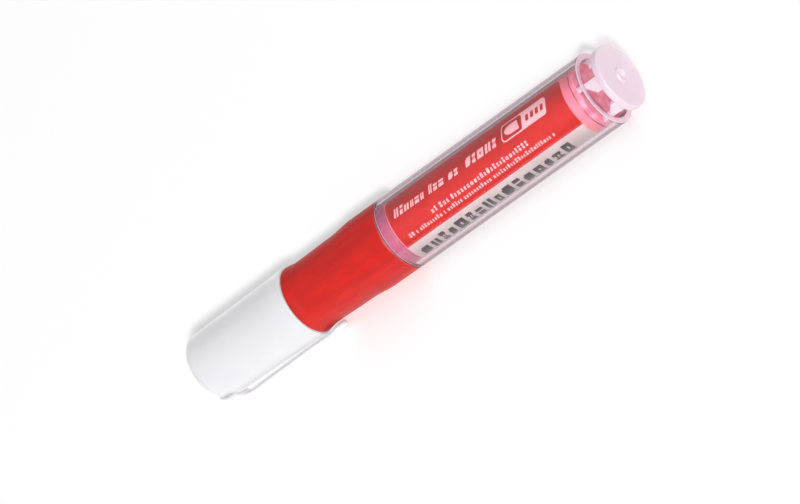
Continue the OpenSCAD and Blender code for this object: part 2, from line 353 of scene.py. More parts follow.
class Nodes:
    """A node tree under construction."""

    def __init__(self, tree: bpy.types.NodeTree) -> None:
        """Starts on an existing tree."""
        self.tree = tree

    def add(self, kind: str, feeds: Feeds | None = None, **settings: object) -> bpy.types.Node:
        """Adds a node.

        Args:
            kind: Blender's name of the node type.
            feeds: What goes into its inputs, by name or number: a value or another node's output.
            settings: Properties of the node.

        Returns:
            The node.
        """
        node = self.tree.nodes.new(kind)
        for name, value in settings.items():
            setattr(node, name, value)
        for key, value in (feeds or {}).items():
            self.feed(node.inputs[key], value)
        return node

    def feed(self, socket: bpy.types.NodeSocket, value: object) -> None:
        """Links an output to a socket, or sets the socket's value."""
        if isinstance(value, bpy.types.NodeSocket):
            self.tree.links.new(value, socket)
        else:
            socket.default_value = value

    def math(self, operation: str, *values: object) -> bpy.types.NodeSocket:
        """The result of a sum on numbers or outputs."""
        node = self.add("ShaderNodeMath", dict(enumerate(values)), operation=operation)
        return node.outputs[0]

    def vector(self, operation: str, *values: object) -> bpy.types.NodeSocket:
        """The result of a sum on vectors."""
        node = self.add("ShaderNodeVectorMath", dict(enumerate(values)), operation=operation)
        return node.outputs[0]

    def scaled(self, vector: object, factor: object) -> bpy.types.NodeSocket:
        """A vector times a number."""
        node = self.add("ShaderNodeVectorMath", {0: vector, "Scale": factor}, operation="SCALE")
        return node.outputs[0]

    def ramp(self, value: object, low: object, high: object, to_low: object = 0.0,
             to_high: object = 1.0, soft: bool = False) -> bpy.types.NodeSocket:
        """A value carried from one range to another, clamped.

        Args:
            value: What is carried.
            low: Start of its range.
            high: End of its range.
            to_low: What the start becomes.
            to_high: What the end becomes.
            soft: True for an S-shaped step, False for a straight one.

        Returns:
            The carried value.
        """
        kind = "SMOOTHSTEP" if soft else "LINEAR"
        node = self.add("ShaderNodeMapRange", {"Value": value, "From Min": low, "From Max": high,
                                               "To Min": to_low, "To Max": to_high},
                        interpolation_type=kind)
        return node.outputs[0]


class Group(Nodes):
    """A node group with named inputs and outputs."""

    def __init__(self, name: str, kind: TreeKind, inputs: dict[str, tuple[Kind, object]],
                 outputs: dict[str, Kind]) -> None:
        """Makes the empty group.

        Args:
            name: The group's name.
            kind: The editor it belongs to.
            inputs: Type and first value of each input, None where it has no value.
            outputs: Type of each output.
        """
        super().__init__(bpy.data.node_groups.new(name, kind.value))
        for label, (sort, value) in inputs.items():
            socket = self.tree.interface.new_socket(label, in_out="INPUT", socket_type=sort.value)
            if value is not None:
                socket.default_value = value
        for label, sort in outputs.items():
            self.tree.interface.new_socket(label, in_out="OUTPUT", socket_type=sort.value)
        self.inputs = self.tree.nodes.new("NodeGroupInput").outputs
        self.outputs = self.tree.nodes.new("NodeGroupOutput").inputs

    def put(self, **results: bpy.types.NodeSocket) -> None:
        """Feeds the group's outputs by name."""
        for label, socket in results.items():
            self.feed(self.outputs[label], socket)

    def run_on(self, mesh: bmesh.types.BMesh, **values: object) -> bmesh.types.BMesh:
        """Runs this geometry tree on a mesh and returns the plain result.

        Args:
            mesh: The mesh that goes in; it is freed.
            values: The tree's inputs, by name with _ for a space.

        Returns:
            The evaluated mesh.
        """
        data = bpy.data.meshes.new("raw")
        mesh.to_mesh(data)
        mesh.free()
        holder = bpy.data.objects.new("raw", data)
        bpy.context.scene.collection.objects.link(holder)
        modifier = holder.modifiers.new(self.tree.name, "NODES")
        modifier.node_group = self.tree
        for item in self.tree.interface.items_tree:
            label = item.name.replace(" ", "_")
            if item.in_out == "INPUT" and label in values:
                modifier[item.identifier] = values[label]
        shown = holder.evaluated_get(bpy.context.evaluated_depsgraph_get())
        result = bpy.data.meshes.new_from_object(shown)
        made = bmesh.new()
        made.from_mesh(result)
        bpy.data.objects.remove(holder)
        for spare in (data, result):
            bpy.data.meshes.remove(spare)
        return made


def repeat_tree() -> Group:
    """Repeats a mesh along the pen and around its axis.

    The mesh comes in with the pen's axis through the origin.

    Returns:
        The tree.
    """
    tree = Group("Repeat on the pen", TreeKind.SHAPE, {
        "Mesh": (Kind.MESH, None),
        "Count": (Kind.WHOLE, 1),
        "Place": (Kind.VECTOR, (0.0, 0.0, 0.0)),
        "Step": (Kind.VECTOR, (0.0, 0.0, 0.0)),
        "Turn": (Kind.NUMBER, 0.0),
        "Finish": (Kind.MATERIAL, None),
    }, {"Mesh": Kind.MESH})
    given = tree.inputs
    line = tree.add("GeometryNodeMeshLine", {"Count": given["Count"], "Start Location": given["Place"],
                                             "Offset": given["Step"]})
    index = tree.add("GeometryNodeInputIndex").outputs[0]
    turn = tree.math("MULTIPLY", index, given["Turn"])
    rotation = tree.add("ShaderNodeCombineXYZ", {"X": turn})
    copies = tree.add("GeometryNodeInstanceOnPoints", {
        "Points": line.outputs[0], "Instance": given["Mesh"], "Rotation": rotation.outputs[0]})
    solid = tree.add("GeometryNodeRealizeInstances", {0: copies.outputs[0]})
    dressed = tree.add("GeometryNodeSetMaterial", {0: solid.outputs[0], "Material": given["Finish"]})
    tree.put(Mesh=dressed.outputs[0])
    return tree


def print_row_tree() -> Group:
    """Sets a row of printed marks of random shape, width and height, and wraps it round the pen.

    The marks come in side by side, MARK_PITCH apart, each a plate one metre square. They stand
    on a common foot line, and x runs along the pen.

    Returns:
        The tree.
    """
    tree = Group("Printed row", TreeKind.SHAPE, {
        "Marks": (Kind.MESH, None),
        "Shapes": (Kind.WHOLE, len(MarkShape)),
        "Count": (Kind.WHOLE, 8),
        "Length": (Kind.NUMBER, 0.02),
        "Uneven": (Kind.NUMBER, 0.3),
        "Low": (Kind.NUMBER, 0.7),
        "Height": (Kind.NUMBER, 0.002),
        "Gap": (Kind.NUMBER, 0.3),
        "Word Gap": (Kind.NUMBER, 1.0),
        "Word Share": (Kind.NUMBER, 0.2),
        "Slant": (Kind.NUMBER, 0.0),
        "Seed": (Kind.WHOLE, 1),
        "Place": (Kind.VECTOR, (0.0, 0.0, 0.0)),
        "Angle": (Kind.NUMBER, 0.0),
        "Radius": (Kind.NUMBER, 0.008),
        "Thickness": (Kind.NUMBER, 0.00002),
        "Finish": (Kind.MATERIAL, None),
    }, {"Mesh": Kind.MESH})
    given = tree.inputs

    def chance(low: object, high: object, offset: int) -> bpy.types.NodeSocket:
        """A random number for each mark.

        Args:
            low: Least value.
            high: Greatest value.
            offset: Added to the row's seed, so that each use draws its own numbers.

        Returns:
            The number.
        """
        seed = tree.math("ADD", given["Seed"], float(offset))
        node = tree.add("FunctionNodeRandomValue", {2: low, 3: high, "Seed": seed}, data_type="FLOAT")
        return node.outputs[1]

    narrowest = tree.math("MULTIPLY", given["Uneven"], -1.0)
    width = tree.math("ADD", 1.0, chance(narrowest, given["Uneven"], 0))
    tall = tree.math("GREATER_THAN", chance(0.0, 1.0, 17), LOW_SHARE)
    height = tree.math("MULTIPLY", given["Height"], tree.ramp(tall, 0.0, 1.0, given["Low"], 1.0))
    ends_word = tree.math("LESS_THAN", chance(0.0, 1.0, 31), given["Word Share"])
    room = tree.math("ADD", given["Gap"], tree.math("MULTIPLY", ends_word, given["Word Gap"]))
    past = tree.add("GeometryNodeAccumulateField", {0: tree.math("ADD", width, room)}, data_type="FLOAT")
    unit = tree.math("DIVIDE", given["Length"], past.outputs["Total"])
    along = tree.math("ADD", past.outputs["Trailing"], tree.math("DIVIDE", width, 2.0))
    along = tree.math("MULTIPLY", along, unit)
    foot = tree.math("DIVIDE", tree.math("SUBTRACT", height, given["Height"]), 2.0)
    line = tree.add("GeometryNodeMeshLine", {"Count": given["Count"], "Offset": (0.0, 0.0, 0.0)})
    placed = tree.add("GeometryNodeSetPosition", {
        "Geometry": line.outputs[0],
        "Position": tree.add("ShaderNodeCombineXYZ", {"X": along, "Y": foot}).outputs[0]})
    shapes = tree.add("GeometryNodeJoinGeometry")
    where = tree.add("GeometryNodeInputPosition").outputs[0]
    for k in reversed(range(len(MarkShape))):
        off = tree.math("ABSOLUTE", tree.math("SUBTRACT", tree.add(
            "ShaderNodeSeparateXYZ", {0: where}).outputs["X"], MARK_PITCH * k))
        one = tree.add("GeometryNodeSeparateGeometry", {
            "Geometry": given["Marks"], "Selection": tree.math("LESS_THAN", off, 1.0)})
        home = tree.add("GeometryNodeSetPosition", {"Geometry": one.outputs[0],
                                                    "Offset": (-MARK_PITCH * k, 0.0, 0.0)})
        held = tree.add("GeometryNodeGeometryToInstance", {0: home.outputs[0]})
        tree.tree.links.new(held.outputs[0], shapes.inputs[0])
    last = tree.math("SUBTRACT", given["Shapes"], 0.001)
    pick = tree.math("FLOOR", chance(0.0, last, 53))
    copies = tree.add("GeometryNodeInstanceOnPoints", {
        "Points": placed.outputs[0], "Instance": shapes.outputs[0], "Pick Instance": True,
        "Instance Index": pick,
        "Scale": tree.add("ShaderNodeCombineXYZ", {
            "X": tree.math("MULTIPLY", width, unit), "Y": height,
            "Z": given["Thickness"]}).outputs[0]})
    solid = tree.add("GeometryNodeRealizeInstances", {0: copies.outputs[0]})
    flat = tree.add("ShaderNodeSeparateXYZ", {0: tree.add("GeometryNodeInputPosition").outputs[0]})
    up = tree.math("DIVIDE", flat.outputs["Y"], given["Radius"])
    turn = tree.math("SUBTRACT", given["Angle"], up)
    reach = tree.math("ADD", given["Radius"], flat.outputs["Z"])
    leant = tree.math("MULTIPLY", flat.outputs["Y"], given["Slant"])
    wrapped = tree.add("ShaderNodeCombineXYZ", {
        "X": tree.math("ADD", flat.outputs["X"], leant),
        "Y": tree.math("MULTIPLY", tree.math("MULTIPLY", reach, tree.math("SINE", turn)), -1.0),
        "Z": tree.math("MULTIPLY", reach, tree.math("COSINE", turn))})
    bent = tree.add("GeometryNodeSetPosition", {
        "Geometry": solid.outputs[0],
        "Position": tree.vector("ADD", wrapped.outputs[0], given["Place"])})
    dressed = tree.add("GeometryNodeSetMaterial", {0: bent.outputs[0], "Material": given["Finish"]})
    tree.put(Mesh=dressed.outputs[0])
    return tree


def swell_tree() -> Group:
    """Draws the outside of the grip by its rule, and closes it on to the rest of the grip.

    The radius starts at the waist, rises gently, then swells by an S-shaped step.

    Returns:
        The tree.
    """
    tree = Group("Grip swell", TreeKind.SHAPE, {
        "Rest": (Kind.MESH, None),
        "Around": (Kind.WHOLE, 144),
        "Stations": (Kind.WHOLE, 40),
        "Place": (Kind.VECTOR, (0.0, 0.0, 0.0)),
        "Length": (Kind.NUMBER, 0.03),
        "Waist": (Kind.NUMBER, 0.0086),
        "Slope": (Kind.NUMBER, 0.0002),
        "Slope Length": (Kind.NUMBER, 0.012),
        "Swell": (Kind.NUMBER, 0.0006),
        "Swell Start": (Kind.NUMBER, 0.012),
        "Swell Length": (Kind.NUMBER, 0.0076),
        "Finish": (Kind.MATERIAL, None),
    }, {"Mesh": Kind.MESH})
    given = tree.inputs
    columns = tree.math("ADD", given["Around"], 1.0)
    grid = tree.add("GeometryNodeMeshGrid", {"Size X": 1.0, "Size Y": 1.0,
                                             "Vertices X": given["Stations"], "Vertices Y": columns})
    flat = tree.add("ShaderNodeSeparateXYZ", {0: tree.add("GeometryNodeInputPosition").outputs[0]})
    along = tree.math("MULTIPLY", tree.math("ADD", flat.outputs["X"], 0.5), given["Length"])
    turn = tree.math("MULTIPLY", tree.math("ADD", flat.outputs["Y"], 0.5), 2 * math.pi)
    slope = tree.ramp(along, 0.0, given["Slope Length"], 0.0, given["Slope"], soft=True)
    swell_end = tree.math("ADD", given["Swell Start"], given["Swell Length"])
    swell = tree.ramp(along, given["Swell Start"], swell_end, 0.0, given["Swell"], soft=True)
    radius = tree.math("ADD", given["Waist"], tree.math("ADD", slope, swell))
    round_place = tree.add("ShaderNodeCombineXYZ", {
        "X": along,
        "Y": tree.math("MULTIPLY", tree.math("MULTIPLY", radius, tree.math("SINE", turn)), -1.0),
        "Z": tree.math("MULTIPLY", radius, tree.math("COSINE", turn))})
    skin = tree.add("GeometryNodeSetPosition", {
        "Geometry": grid.outputs[0],
        "Position": tree.vector("ADD", round_place.outputs[0], given["Place"])})
    both = tree.add("GeometryNodeJoinGeometry")
    tree.tree.links.new(given["Rest"], both.inputs[0])
    tree.tree.links.new(skin.outputs[0], both.inputs[0])
    merged = tree.add("GeometryNodeMergeByDistance", {"Geometry": both.outputs[0], "Distance": 2e-6})
    solid = tree.add("GeometryNodeRealizeInstances", {0: merged.outputs[0]})
    dressed = tree.add("GeometryNodeSetMaterial", {0: solid.outputs[0], "Material": given["Finish"]})
    tree.put(Mesh=dressed.outputs[0])
    return tree


@dataclass(frozen=True)
class ShapeKit:
    """The shape trees, each built once."""

    repeat: Group = field(default_factory=repeat_tree)
    print_row: Group = field(default_factory=print_row_tree)
    swell: Group = field(default_factory=swell_tree)


SHAPES = ShapeKit()


# ---------------------------------------------------------------- surface groups

def grain_group() -> Group:
    """Fine grain of a moulded surface, with slow cloudy changes of shade. Vector is in mm.

    Returns:
        The group.
    """
    group = Group("Moulded grain", TreeKind.SURFACE, {
        "Vector": (Kind.VECTOR, None), "Per mm": (Kind.NUMBER, 5.0), "Cloud": (Kind.NUMBER, 0.12),
    }, {"Height": Kind.NUMBER, "Shade": Kind.NUMBER})
    given = group.inputs
    fine = group.add("ShaderNodeTexNoise", {"Vector": given["Vector"], "Scale": given["Per mm"],
                                            "Detail": 3.0, "Roughness": 0.6})
    cloud = group.add("ShaderNodeTexNoise", {"Vector": given["Vector"], "Scale": given["Cloud"],
                                             "Detail": 2.0, "Distortion": 0.6})
    height = group.math("ADD", group.math("MULTIPLY", fine.outputs[0], 0.7),
                        group.math("MULTIPLY", cloud.outputs[0], 0.3))
    group.put(Height=height, Shade=group.ramp(cloud.outputs[0], 0.32, 0.68))
    return group


def marks_group() -> Group:
    """Smudges and hairline scratches of handling. Vector is in mm, with x along the pen.

    Returns:
        The group.
    """
    group = Group("Handling marks", TreeKind.SURFACE, {
        "Vector": (Kind.VECTOR, None), "Amount": (Kind.NUMBER, 0.5),
    }, {"Smudge": Kind.NUMBER, "Scratch": Kind.NUMBER})
    given = group.inputs
    smudge = group.add("ShaderNodeTexNoise", {"Vector": given["Vector"], "Scale": 0.28,
                                              "Detail": 4.0, "Roughness": 0.65, "Distortion": 1.2})
    long_way = group.vector("MULTIPLY", given["Vector"], (0.25, 6.0, 6.0))
    hairs = group.add("ShaderNodeTexNoise", {"Vector": long_way, "Scale": 1.0, "Detail": 2.0,
                                             "Roughness": 0.8})
    lines = group.ramp(hairs.outputs[0], 0.62, 0.7)
    broken = group.add("ShaderNodeTexNoise", {"Vector": given["Vector"], "Scale": 0.15})
    lines = group.math("MULTIPLY", lines, group.ramp(broken.outputs[0], 0.5, 0.62))
    patches = group.ramp(smudge.outputs[0], 0.42, 0.68)
    group.put(Smudge=group.math("MULTIPLY", patches, given["Amount"]),
              Scratch=group.math("MULTIPLY", lines, given["Amount"]))
    return group


def wear_group() -> Group:
    """Where edges and corners have rubbed, and on the tube's rim a painted edge highlight: a mask from
    the surface's own curvature.

    Returns:
        The group.
    """
    group = Group("Edge wear", TreeKind.SURFACE, {
        "Vector": (Kind.VECTOR, None), "Amount": (Kind.NUMBER, 0.5),
    }, {"Mask": Kind.NUMBER})
    given = group.inputs
    bend = group.add("ShaderNodeNewGeometry").outputs["Pointiness"]
    patchy = group.add("ShaderNodeTexNoise", {"Vector": given["Vector"], "Scale": 1.4, "Detail": 4.0})
    edge = group.ramp(bend, 0.53, 0.62)
    mask = group.math("MULTIPLY", edge, group.ramp(patchy.outputs[0], 0.4, 0.6))
    group.put(Mask=group.math("MULTIPLY", mask, given["Amount"]))
    return group


def dust_group() -> Group:
    """Fine dust and pale specks that settle on what faces up.

    Returns:
        The group.
    """
    group = Group("Settled dust", TreeKind.SURFACE, {
        "Vector": (Kind.VECTOR, None), "Amount": (Kind.NUMBER, 0.2),
    }, {"Mask": Kind.NUMBER})
    given = group.inputs
    facing = group.add("ShaderNodeNewGeometry").outputs["Normal"]
    normal = group.add("ShaderNodeSeparateXYZ", {0: facing})
    upward = group.ramp(normal.outputs["Z"], 0.2, 1.0)
    specks = group.add("ShaderNodeTexVoronoi", {"Vector": given["Vector"], "Scale": 1.3})
    haze = group.add("ShaderNodeTexNoise", {"Vector": given["Vector"], "Scale": 0.5, "Detail": 5.0})
    dots = group.ramp(specks.outputs["Distance"], 0.09, 0.05)
    amount = group.math("MAXIMUM", dots, group.math("MULTIPLY", haze.outputs[0], 0.35))
    group.put(Mask=group.math("MULTIPLY", group.math("MULTIPLY", upward, amount), given["Amount"]))
    return group


@dataclass(frozen=True)
class SurfaceKit:
    """The groups that finishes share."""

    grain: Group = field(default_factory=grain_group)
    marks: Group = field(default_factory=marks_group)
    wear_and_highlight: Group = field(default_factory=wear_group)
    dust: Group = field(default_factory=dust_group)


KIT = SurfaceKit()


# ---------------------------------------------------------------- finishes

DUST_COLOUR = (0.78, 0.76, 0.74)
# Roughness added along the masked edges: rubbed ones, and on the tube's rim those with the painted
# highlight.
WORN_ROUGHNESS = 0.15
# Depth of a scratch, against that of the grain.
SCRATCH_DEPTH = 0.6
COAT_ROUGHNESS = 0.08
# Reach of red, green and blue light inside milky plastic, against each other.
MILK_RADIUS = (1.0, 0.9, 0.9)


def place_in_mm(nodes: Nodes) -> bpy.types.NodeSocket:
    """Object coordinates in mm."""
    return nodes.scaled(nodes.add("ShaderNodeTexCoord").outputs["Object"], 1 / MM)


@dataclass(frozen=True)
class Finish:
    """A moulded plastic surface, and the base of the other finishes.

    Attributes:
        name: Name of the material.
        colour: Main colour, linear.
        shade: Colour of its slow, cloudy patches.
        roughness: Roughness where it is untouched.
        rub: Roughness added or taken by smudges.
        gloss: Strength of the reflections, 0.5 for a plain surface.
        grain: Grains per mm.
        depth: Depth of the grain in mm.
        marks: Strength of the handling marks.
        wear_and_highlight: Strength of the rubbed, paler edges, and on the tube's rim of the painted
            edge highlight.
        dust: Strength of the dust.
        clear: Share of light that passes.
        ior: Refraction.
        milk: Weight of the light that scatters inside.
        milk_reach: How far that light goes, in mm.
        coat: Weight of a glossy skin.
        haze: Weight of the bloom at a glancing view.
        lamp_tint: Colour of lamp light behind it, or None if it casts a full shadow.
    """

    name: str
    colour: Rgb
    shade: Rgb
    roughness: float = 0.4
    rub: float = 0.12
    gloss: float = 0.5
    grain: float = 5.0
    depth: float = 0.01
    marks: float = 0.5
    wear_and_highlight: float = 0.3
    dust: float = 0.15
    clear: float = 0.0
    ior: float = 1.49
    milk: float = 0.0
    milk_reach: float = 1.0
    coat: float = 0.0
    haze: float = 0.0
    lamp_tint: Rgb | None = None

    def material(self) -> bpy.types.Material:
        """The finish as a Blender material, made once.

        Returns:
            The material.
        """
        made = bpy.data.materials.get(self.name)
        if made is None:
            made = bpy.data.materials.new(self.name)
            made.use_nodes = True
            made.node_tree.nodes.clear()
            self.lay(Nodes(made.node_tree))
        return made

    def use(self, nodes: Nodes, group: Group, **feeds: object) -> bpy.types.Node:
        """Places a shared group in this finish.

        Args:
            nodes: The material's tree.
            group: The group.
            feeds: Its inputs, by name with _ for a space.

        Returns:
            The group's node.
        """
        node = nodes.add("ShaderNodeGroup", node_tree=group.tree)
        for label, value in feeds.items():
            nodes.feed(node.inputs[label.replace("_", " ")], value)
        return node

    def blend(self, nodes: Nodes, share: object, first: object,
              second: object) -> bpy.types.NodeSocket:
        """A mix of two colours.

        Args:
            nodes: The material's tree.
            share: Share of the second colour.
            first: The first colour.
            second: The second colour.

        Returns:
            The mixed colour.
        """
        node = nodes.add("ShaderNodeMix", {"Factor": share}, data_type="RGBA")
        for socket, value in ((node.inputs[6], first), (node.inputs[7], second)):
            nodes.feed(socket, (*value, 1.0) if isinstance(value, tuple) else value)
        return node.outputs[2]

    def pattern(self, nodes: Nodes, place: bpy.types.NodeSocket,
                grain: bpy.types.Node) -> bpy.types.NodeSocket:
        """The colour before the pale edges and dust."""
        return self.blend(nodes, grain.outputs["Shade"], self.colour, self.shade)

    def relief(self, nodes: Nodes, place: bpy.types.NodeSocket,
               grain: bpy.types.Node) -> bpy.types.NodeSocket:
        """The height that the bump is made of, from 0 to 1."""
        return grain.outputs["Height"]

    def lay(self, nodes: Nodes) -> None:
        """Builds the material's nodes.

        Args:
            nodes: The material's empty tree.
        """
        place = place_in_mm(nodes)
        grain = self.use(nodes, KIT.grain, Vector=place, Per_mm=self.grain)
        marks = self.use(nodes, KIT.marks, Vector=place, Amount=self.marks)
        wear_and_highlight = self.use(nodes, KIT.wear_and_highlight, Vector=place, Amount=self.wear_and_highlight)
        dust = self.use(nodes, KIT.dust, Vector=place, Amount=self.dust)
        # Edges turn pale: rubbed plastic on most finishes, a painted highlight on the tube's rim.
        pale = tuple(0.5 * channel + 0.45 for channel in self.colour)
        colour = self.pattern(nodes, place, grain)
        colour = self.blend(nodes, wear_and_highlight.outputs[0], colour, pale)
        colour = self.blend(nodes, dust.outputs[0], colour, DUST_COLOUR)
        rubbed = nodes.math("MULTIPLY", marks.outputs["Smudge"], self.rub)
        rough = nodes.math("ADD", self.roughness, rubbed)
        rough = nodes.math("ADD", rough, nodes.math("MULTIPLY", wear_and_highlight.outputs[0], WORN_ROUGHNESS))
        height = nodes.math("SUBTRACT", self.relief(nodes, place, grain),
                            nodes.math("MULTIPLY", marks.outputs["Scratch"], SCRATCH_DEPTH))
        bump = nodes.add("ShaderNodeBump", {"Height": height, "Strength": 1.0,
                                            "Distance": self.depth * MM})
        shader = nodes.add("ShaderNodeBsdfPrincipled", {
            "Base Color": colour, "Roughness": rough, "Normal": bump.outputs[0], "IOR": self.ior,
            "Transmission Weight": self.clear, "Subsurface Weight": self.milk,
            "Subsurface Scale": self.milk_reach * MM, "Subsurface Radius": MILK_RADIUS,
            "Sheen Weight": self.haze, "Specular IOR Level": self.gloss,
            "Coat Weight": self.coat, "Coat Roughness": COAT_ROUGHNESS})
        self.finish(nodes, shader)

    def finish(self, nodes: Nodes, shader: bpy.types.Node) -> None:
        """Joins the shader to the output, by way of a clear path for lamps if there is one.

        Args:
            nodes: The material's tree.
            shader: The shader that gives the look.
        """
        surface = shader.outputs[0]
        if self.lamp_tint is not None:
            clear = nodes.add("ShaderNodeBsdfTransparent", {"Color": (*self.lamp_tint, 1.0)})
            path = nodes.add("ShaderNodeLightPath")
            mix = nodes.add("ShaderNodeMixShader", {0: path.outputs["Is Shadow Ray"], 1: surface,
                                                    2: clear.outputs[0]})
            surface = mix.outputs[0]
        nodes.add("ShaderNodeOutputMaterial", {"Surface": surface})


@dataclass(frozen=True)
class FibreFinish(Finish):
    """Bonded fibre: strands along the pen, which show as dots on a cut end."""

    strands: float = 7.0

    def threads(self, nodes: Nodes, place: bpy.types.NodeSocket) -> bpy.types.Node:
        """Cells that are long along the pen and fine across it."""
        along = nodes.vector("MULTIPLY", place, (0.12, 1.0, 1.0))
        return nodes.add("ShaderNodeTexVoronoi", {"Vector": along, "Scale": self.strands})

    def pattern(self, nodes: Nodes, place: bpy.types.NodeSocket,
                grain: bpy.types.Node) -> bpy.types.NodeSocket:
        """Ink-soaked strands: the colour at each one's core, the shade between them."""
        cells = self.threads(nodes, place)
        core = nodes.ramp(cells.outputs["Distance"], 0.0, 0.7)
        return self.blend(nodes, core, self.colour, self.shade)

    def relief(self, nodes: Nodes, place: bpy.types.NodeSocket,
               grain: bpy.types.Node) -> bpy.types.NodeSocket:
        """Round strands."""
        cells = self.threads(nodes, place)
        return nodes.ramp(cells.outputs["Distance"], 0.7, 0.0)


@dataclass(frozen=True)
class StainedFinish(Finish):
    """Clouded plastic that holds a stain of ink along streaks."""

    stain: Rgb = (0.8, 0.2, 0.25)

    def pattern(self, nodes: Nodes, place: bpy.types.NodeSocket,
                grain: bpy.types.Node) -> bpy.types.NodeSocket:
        """Streaks of stain on the clouded colour."""
        streaks = nodes.add("ShaderNodeTexNoise", {
            "Vector": nodes.vector("MULTIPLY", place, (0.08, 0.5, 0.5)), "Scale": 1.0, "Detail": 3.0})
        clouded = self.blend(nodes, grain.outputs["Shade"], self.colour, self.shade)
        return self.blend(nodes, nodes.ramp(streaks.outputs[0], 0.4, 0.75), clouded, self.stain)


@dataclass(frozen=True)
class ClearFinish(Finish):
    """Clear plastic with a trace of dye, and a painted dark shade at its edges, where the view glances.
    """

    # Colour of the painted dark shade at the tube's edges.
    painted_edge_shade: Rgb = (0.16, 0.06, 0.09)

    def pattern(self, nodes: Nodes, place: bpy.types.NodeSocket,
                grain: bpy.types.Node) -> bpy.types.NodeSocket:
        """The pale tint, and the painted dark shade at a glancing view."""
        pale = super().pattern(nodes, place, grain)
        # Painted shade: the edges seen at a glance are darkened towards that colour.
        facing = nodes.add("ShaderNodeLayerWeight", {"Blend": 0.5}).outputs["Facing"]
        return self.blend(nodes, nodes.ramp(facing, 0.5, 0.7), pale, self.painted_edge_shade)


@dataclass(frozen=True)
class PrintFinish(Finish):
    """Printing ink on film, slightly uneven from the press."""

    def pattern(self, nodes: Nodes, place: bpy.types.NodeSocket,
                grain: bpy.types.Node) -> bpy.types.NodeSocket:
        """Fine rosette of the press over the cloudy colour."""
        dots = nodes.add("ShaderNodeTexVoronoi", {"Vector": place, "Scale": 6.0})
        ink = nodes.ramp(dots.outputs["Distance"], 0.1, 0.6, 0.0, 0.35)
        share = nodes.math("MAXIMUM", ink, nodes.math("MULTIPLY", grain.outputs["Shade"], 0.8))
        return self.blend(nodes, share, self.colour, self.shade)


CAP_WHITE = Finish("cap_white", (0.77, 0.75, 0.78), (0.745, 0.725, 0.76), roughness=0.4,
                   depth=0.010, wear_and_highlight=0.15, milk=0.7, milk_reach=4.0, dust=0.05, haze=0.9)
NATURAL = Finish("milky_moulding", (0.80, 0.79, 0.75), (0.74, 0.73, 0.70), roughness=0.45,
                 depth=0.014, milk=0.35, milk_reach=1.5)
NIB_FIBRE = FibreFinish("soaked_fibre", (0.62, 0.05, 0.06), (0.30, 0.01, 0.015), roughness=0.8,
                        depth=0.03, marks=0.2, wear_and_highlight=0.0, dust=0.0)
GRIP_RED = StainedFinish("grip_red", (0.62, 0.014, 0.009), (0.55, 0.010, 0.007), roughness=0.42,
                         gloss=0.3, grain=6.0, depth=0.012, wear_and_highlight=0.1, dust=0.02,
                         stain=(0.44, 0.012, 0.009))
COLLECTOR = StainedFinish("inked_comb", (0.74, 0.69, 0.63), (0.66, 0.60, 0.54), roughness=0.5,
                          milk=0.3, stain=(0.62, 0.10, 0.10))
SLEEVE_PINK = Finish("sleeve_pink", (0.42, 0.13, 0.20), (0.37, 0.10, 0.17), roughness=0.25,
                     dust=0.0, wear_and_highlight=0.0)
# The clear tube, whose edges take the painted dark shade of ClearFinish.
CLEAR_TUBE = ClearFinish("clear_tube", (0.86, 0.76, 0.80), (0.84, 0.73, 0.78), roughness=0.015, rub=0.03,
                         depth=0.001, grain=0.2, marks=0.3, wear_and_highlight=0.0, dust=0.0, clear=1.0, gloss=0.15,
                         lamp_tint=(0.93, 0.89, 0.91))
# The tube's end faces: pink plastic lightened into a painted glow, standing in for the light that the
# clear wall carries to its ends, with a painted highlight along the rounded edges.
TUBE_RIM_PAINTED_LIGHT = Finish("tube_rim", (0.80, 0.55, 0.65), (0.76, 0.50, 0.61), roughness=0.25, depth=0.004,
                  wear_and_highlight=0.5, dust=0.0, coat=0.5)
FILM_BASE = PrintFinish("film_base", (0.76, 0.24, 0.29), (0.72, 0.21, 0.26), roughness=0.4, dust=0.0,
                        wear_and_highlight=0.0, depth=0.003, gloss=0.25)
PRINT_RED = PrintFinish("print_red", (0.43, 0.016, 0.010), (0.39, 0.013, 0.008), roughness=0.5,
                        dust=0.0, wear_and_highlight=0.0, depth=0.003, gloss=0.2)
PRINT_GREY = PrintFinish("print_grey", (0.50, 0.50, 0.45), (0.47, 0.47, 0.42), roughness=0.45,
                         dust=0.0, wear_and_highlight=0.0, depth=0.003, gloss=0.2)
PRINT_WHITE = PrintFinish("print_white", (0.78, 0.52, 0.51), (0.74, 0.47, 0.47), roughness=0.5,
                          dust=0.0, wear_and_highlight=0.0, depth=0.003, gloss=0.2)
PRINT_BLACK = PrintFinish("print_black", (0.006, 0.005, 0.005), (0.009, 0.008, 0.008), roughness=0.6,
                          dust=0.0, wear_and_highlight=0.0, depth=0.003)
CARTRIDGE = StainedFinish("stained_bottle", (0.92, 0.68, 0.72), (0.89, 0.61, 0.66), roughness=0.18,
                          clear=0.82, milk=0.2, stain=(0.80, 0.22, 0.28), dust=0.0,
                          lamp_tint=(0.85, 0.5, 0.55))
SEAL_RUBBER = Finish("grommet_rubber", (0.03, 0.03, 0.032), (0.045, 0.043, 0.045), roughness=0.75,
                     depth=0.02, grain=9.0, dust=0.3)
RED_INK = Finish("marker_ink", (0.42, 0.006, 0.012), (0.36, 0.004, 0.01), roughness=0.06, depth=0.0,
                 marks=0.0, wear_and_highlight=0.0, dust=0.0, coat=1.0)
PLUG_PINK = StainedFinish("plug_pink", (0.84, 0.36, 0.44), (0.80, 0.31, 0.40), roughness=0.35,
                          milk=0.3, milk_reach=1.5, stain=(0.74, 0.13, 0.19), dust=0.0)
TAIL_MILK = Finish("tail_milk", (0.85, 0.74, 0.80), (0.83, 0.69, 0.77), roughness=0.28, rub=0.15,
                   clear=0.25, milk=0.5, milk_reach=2.0, wear_and_highlight=0.5, coat=0.4,
                   lamp_tint=(0.8, 0.68, 0.75))


# ---------------------------------------------------------------- pieces

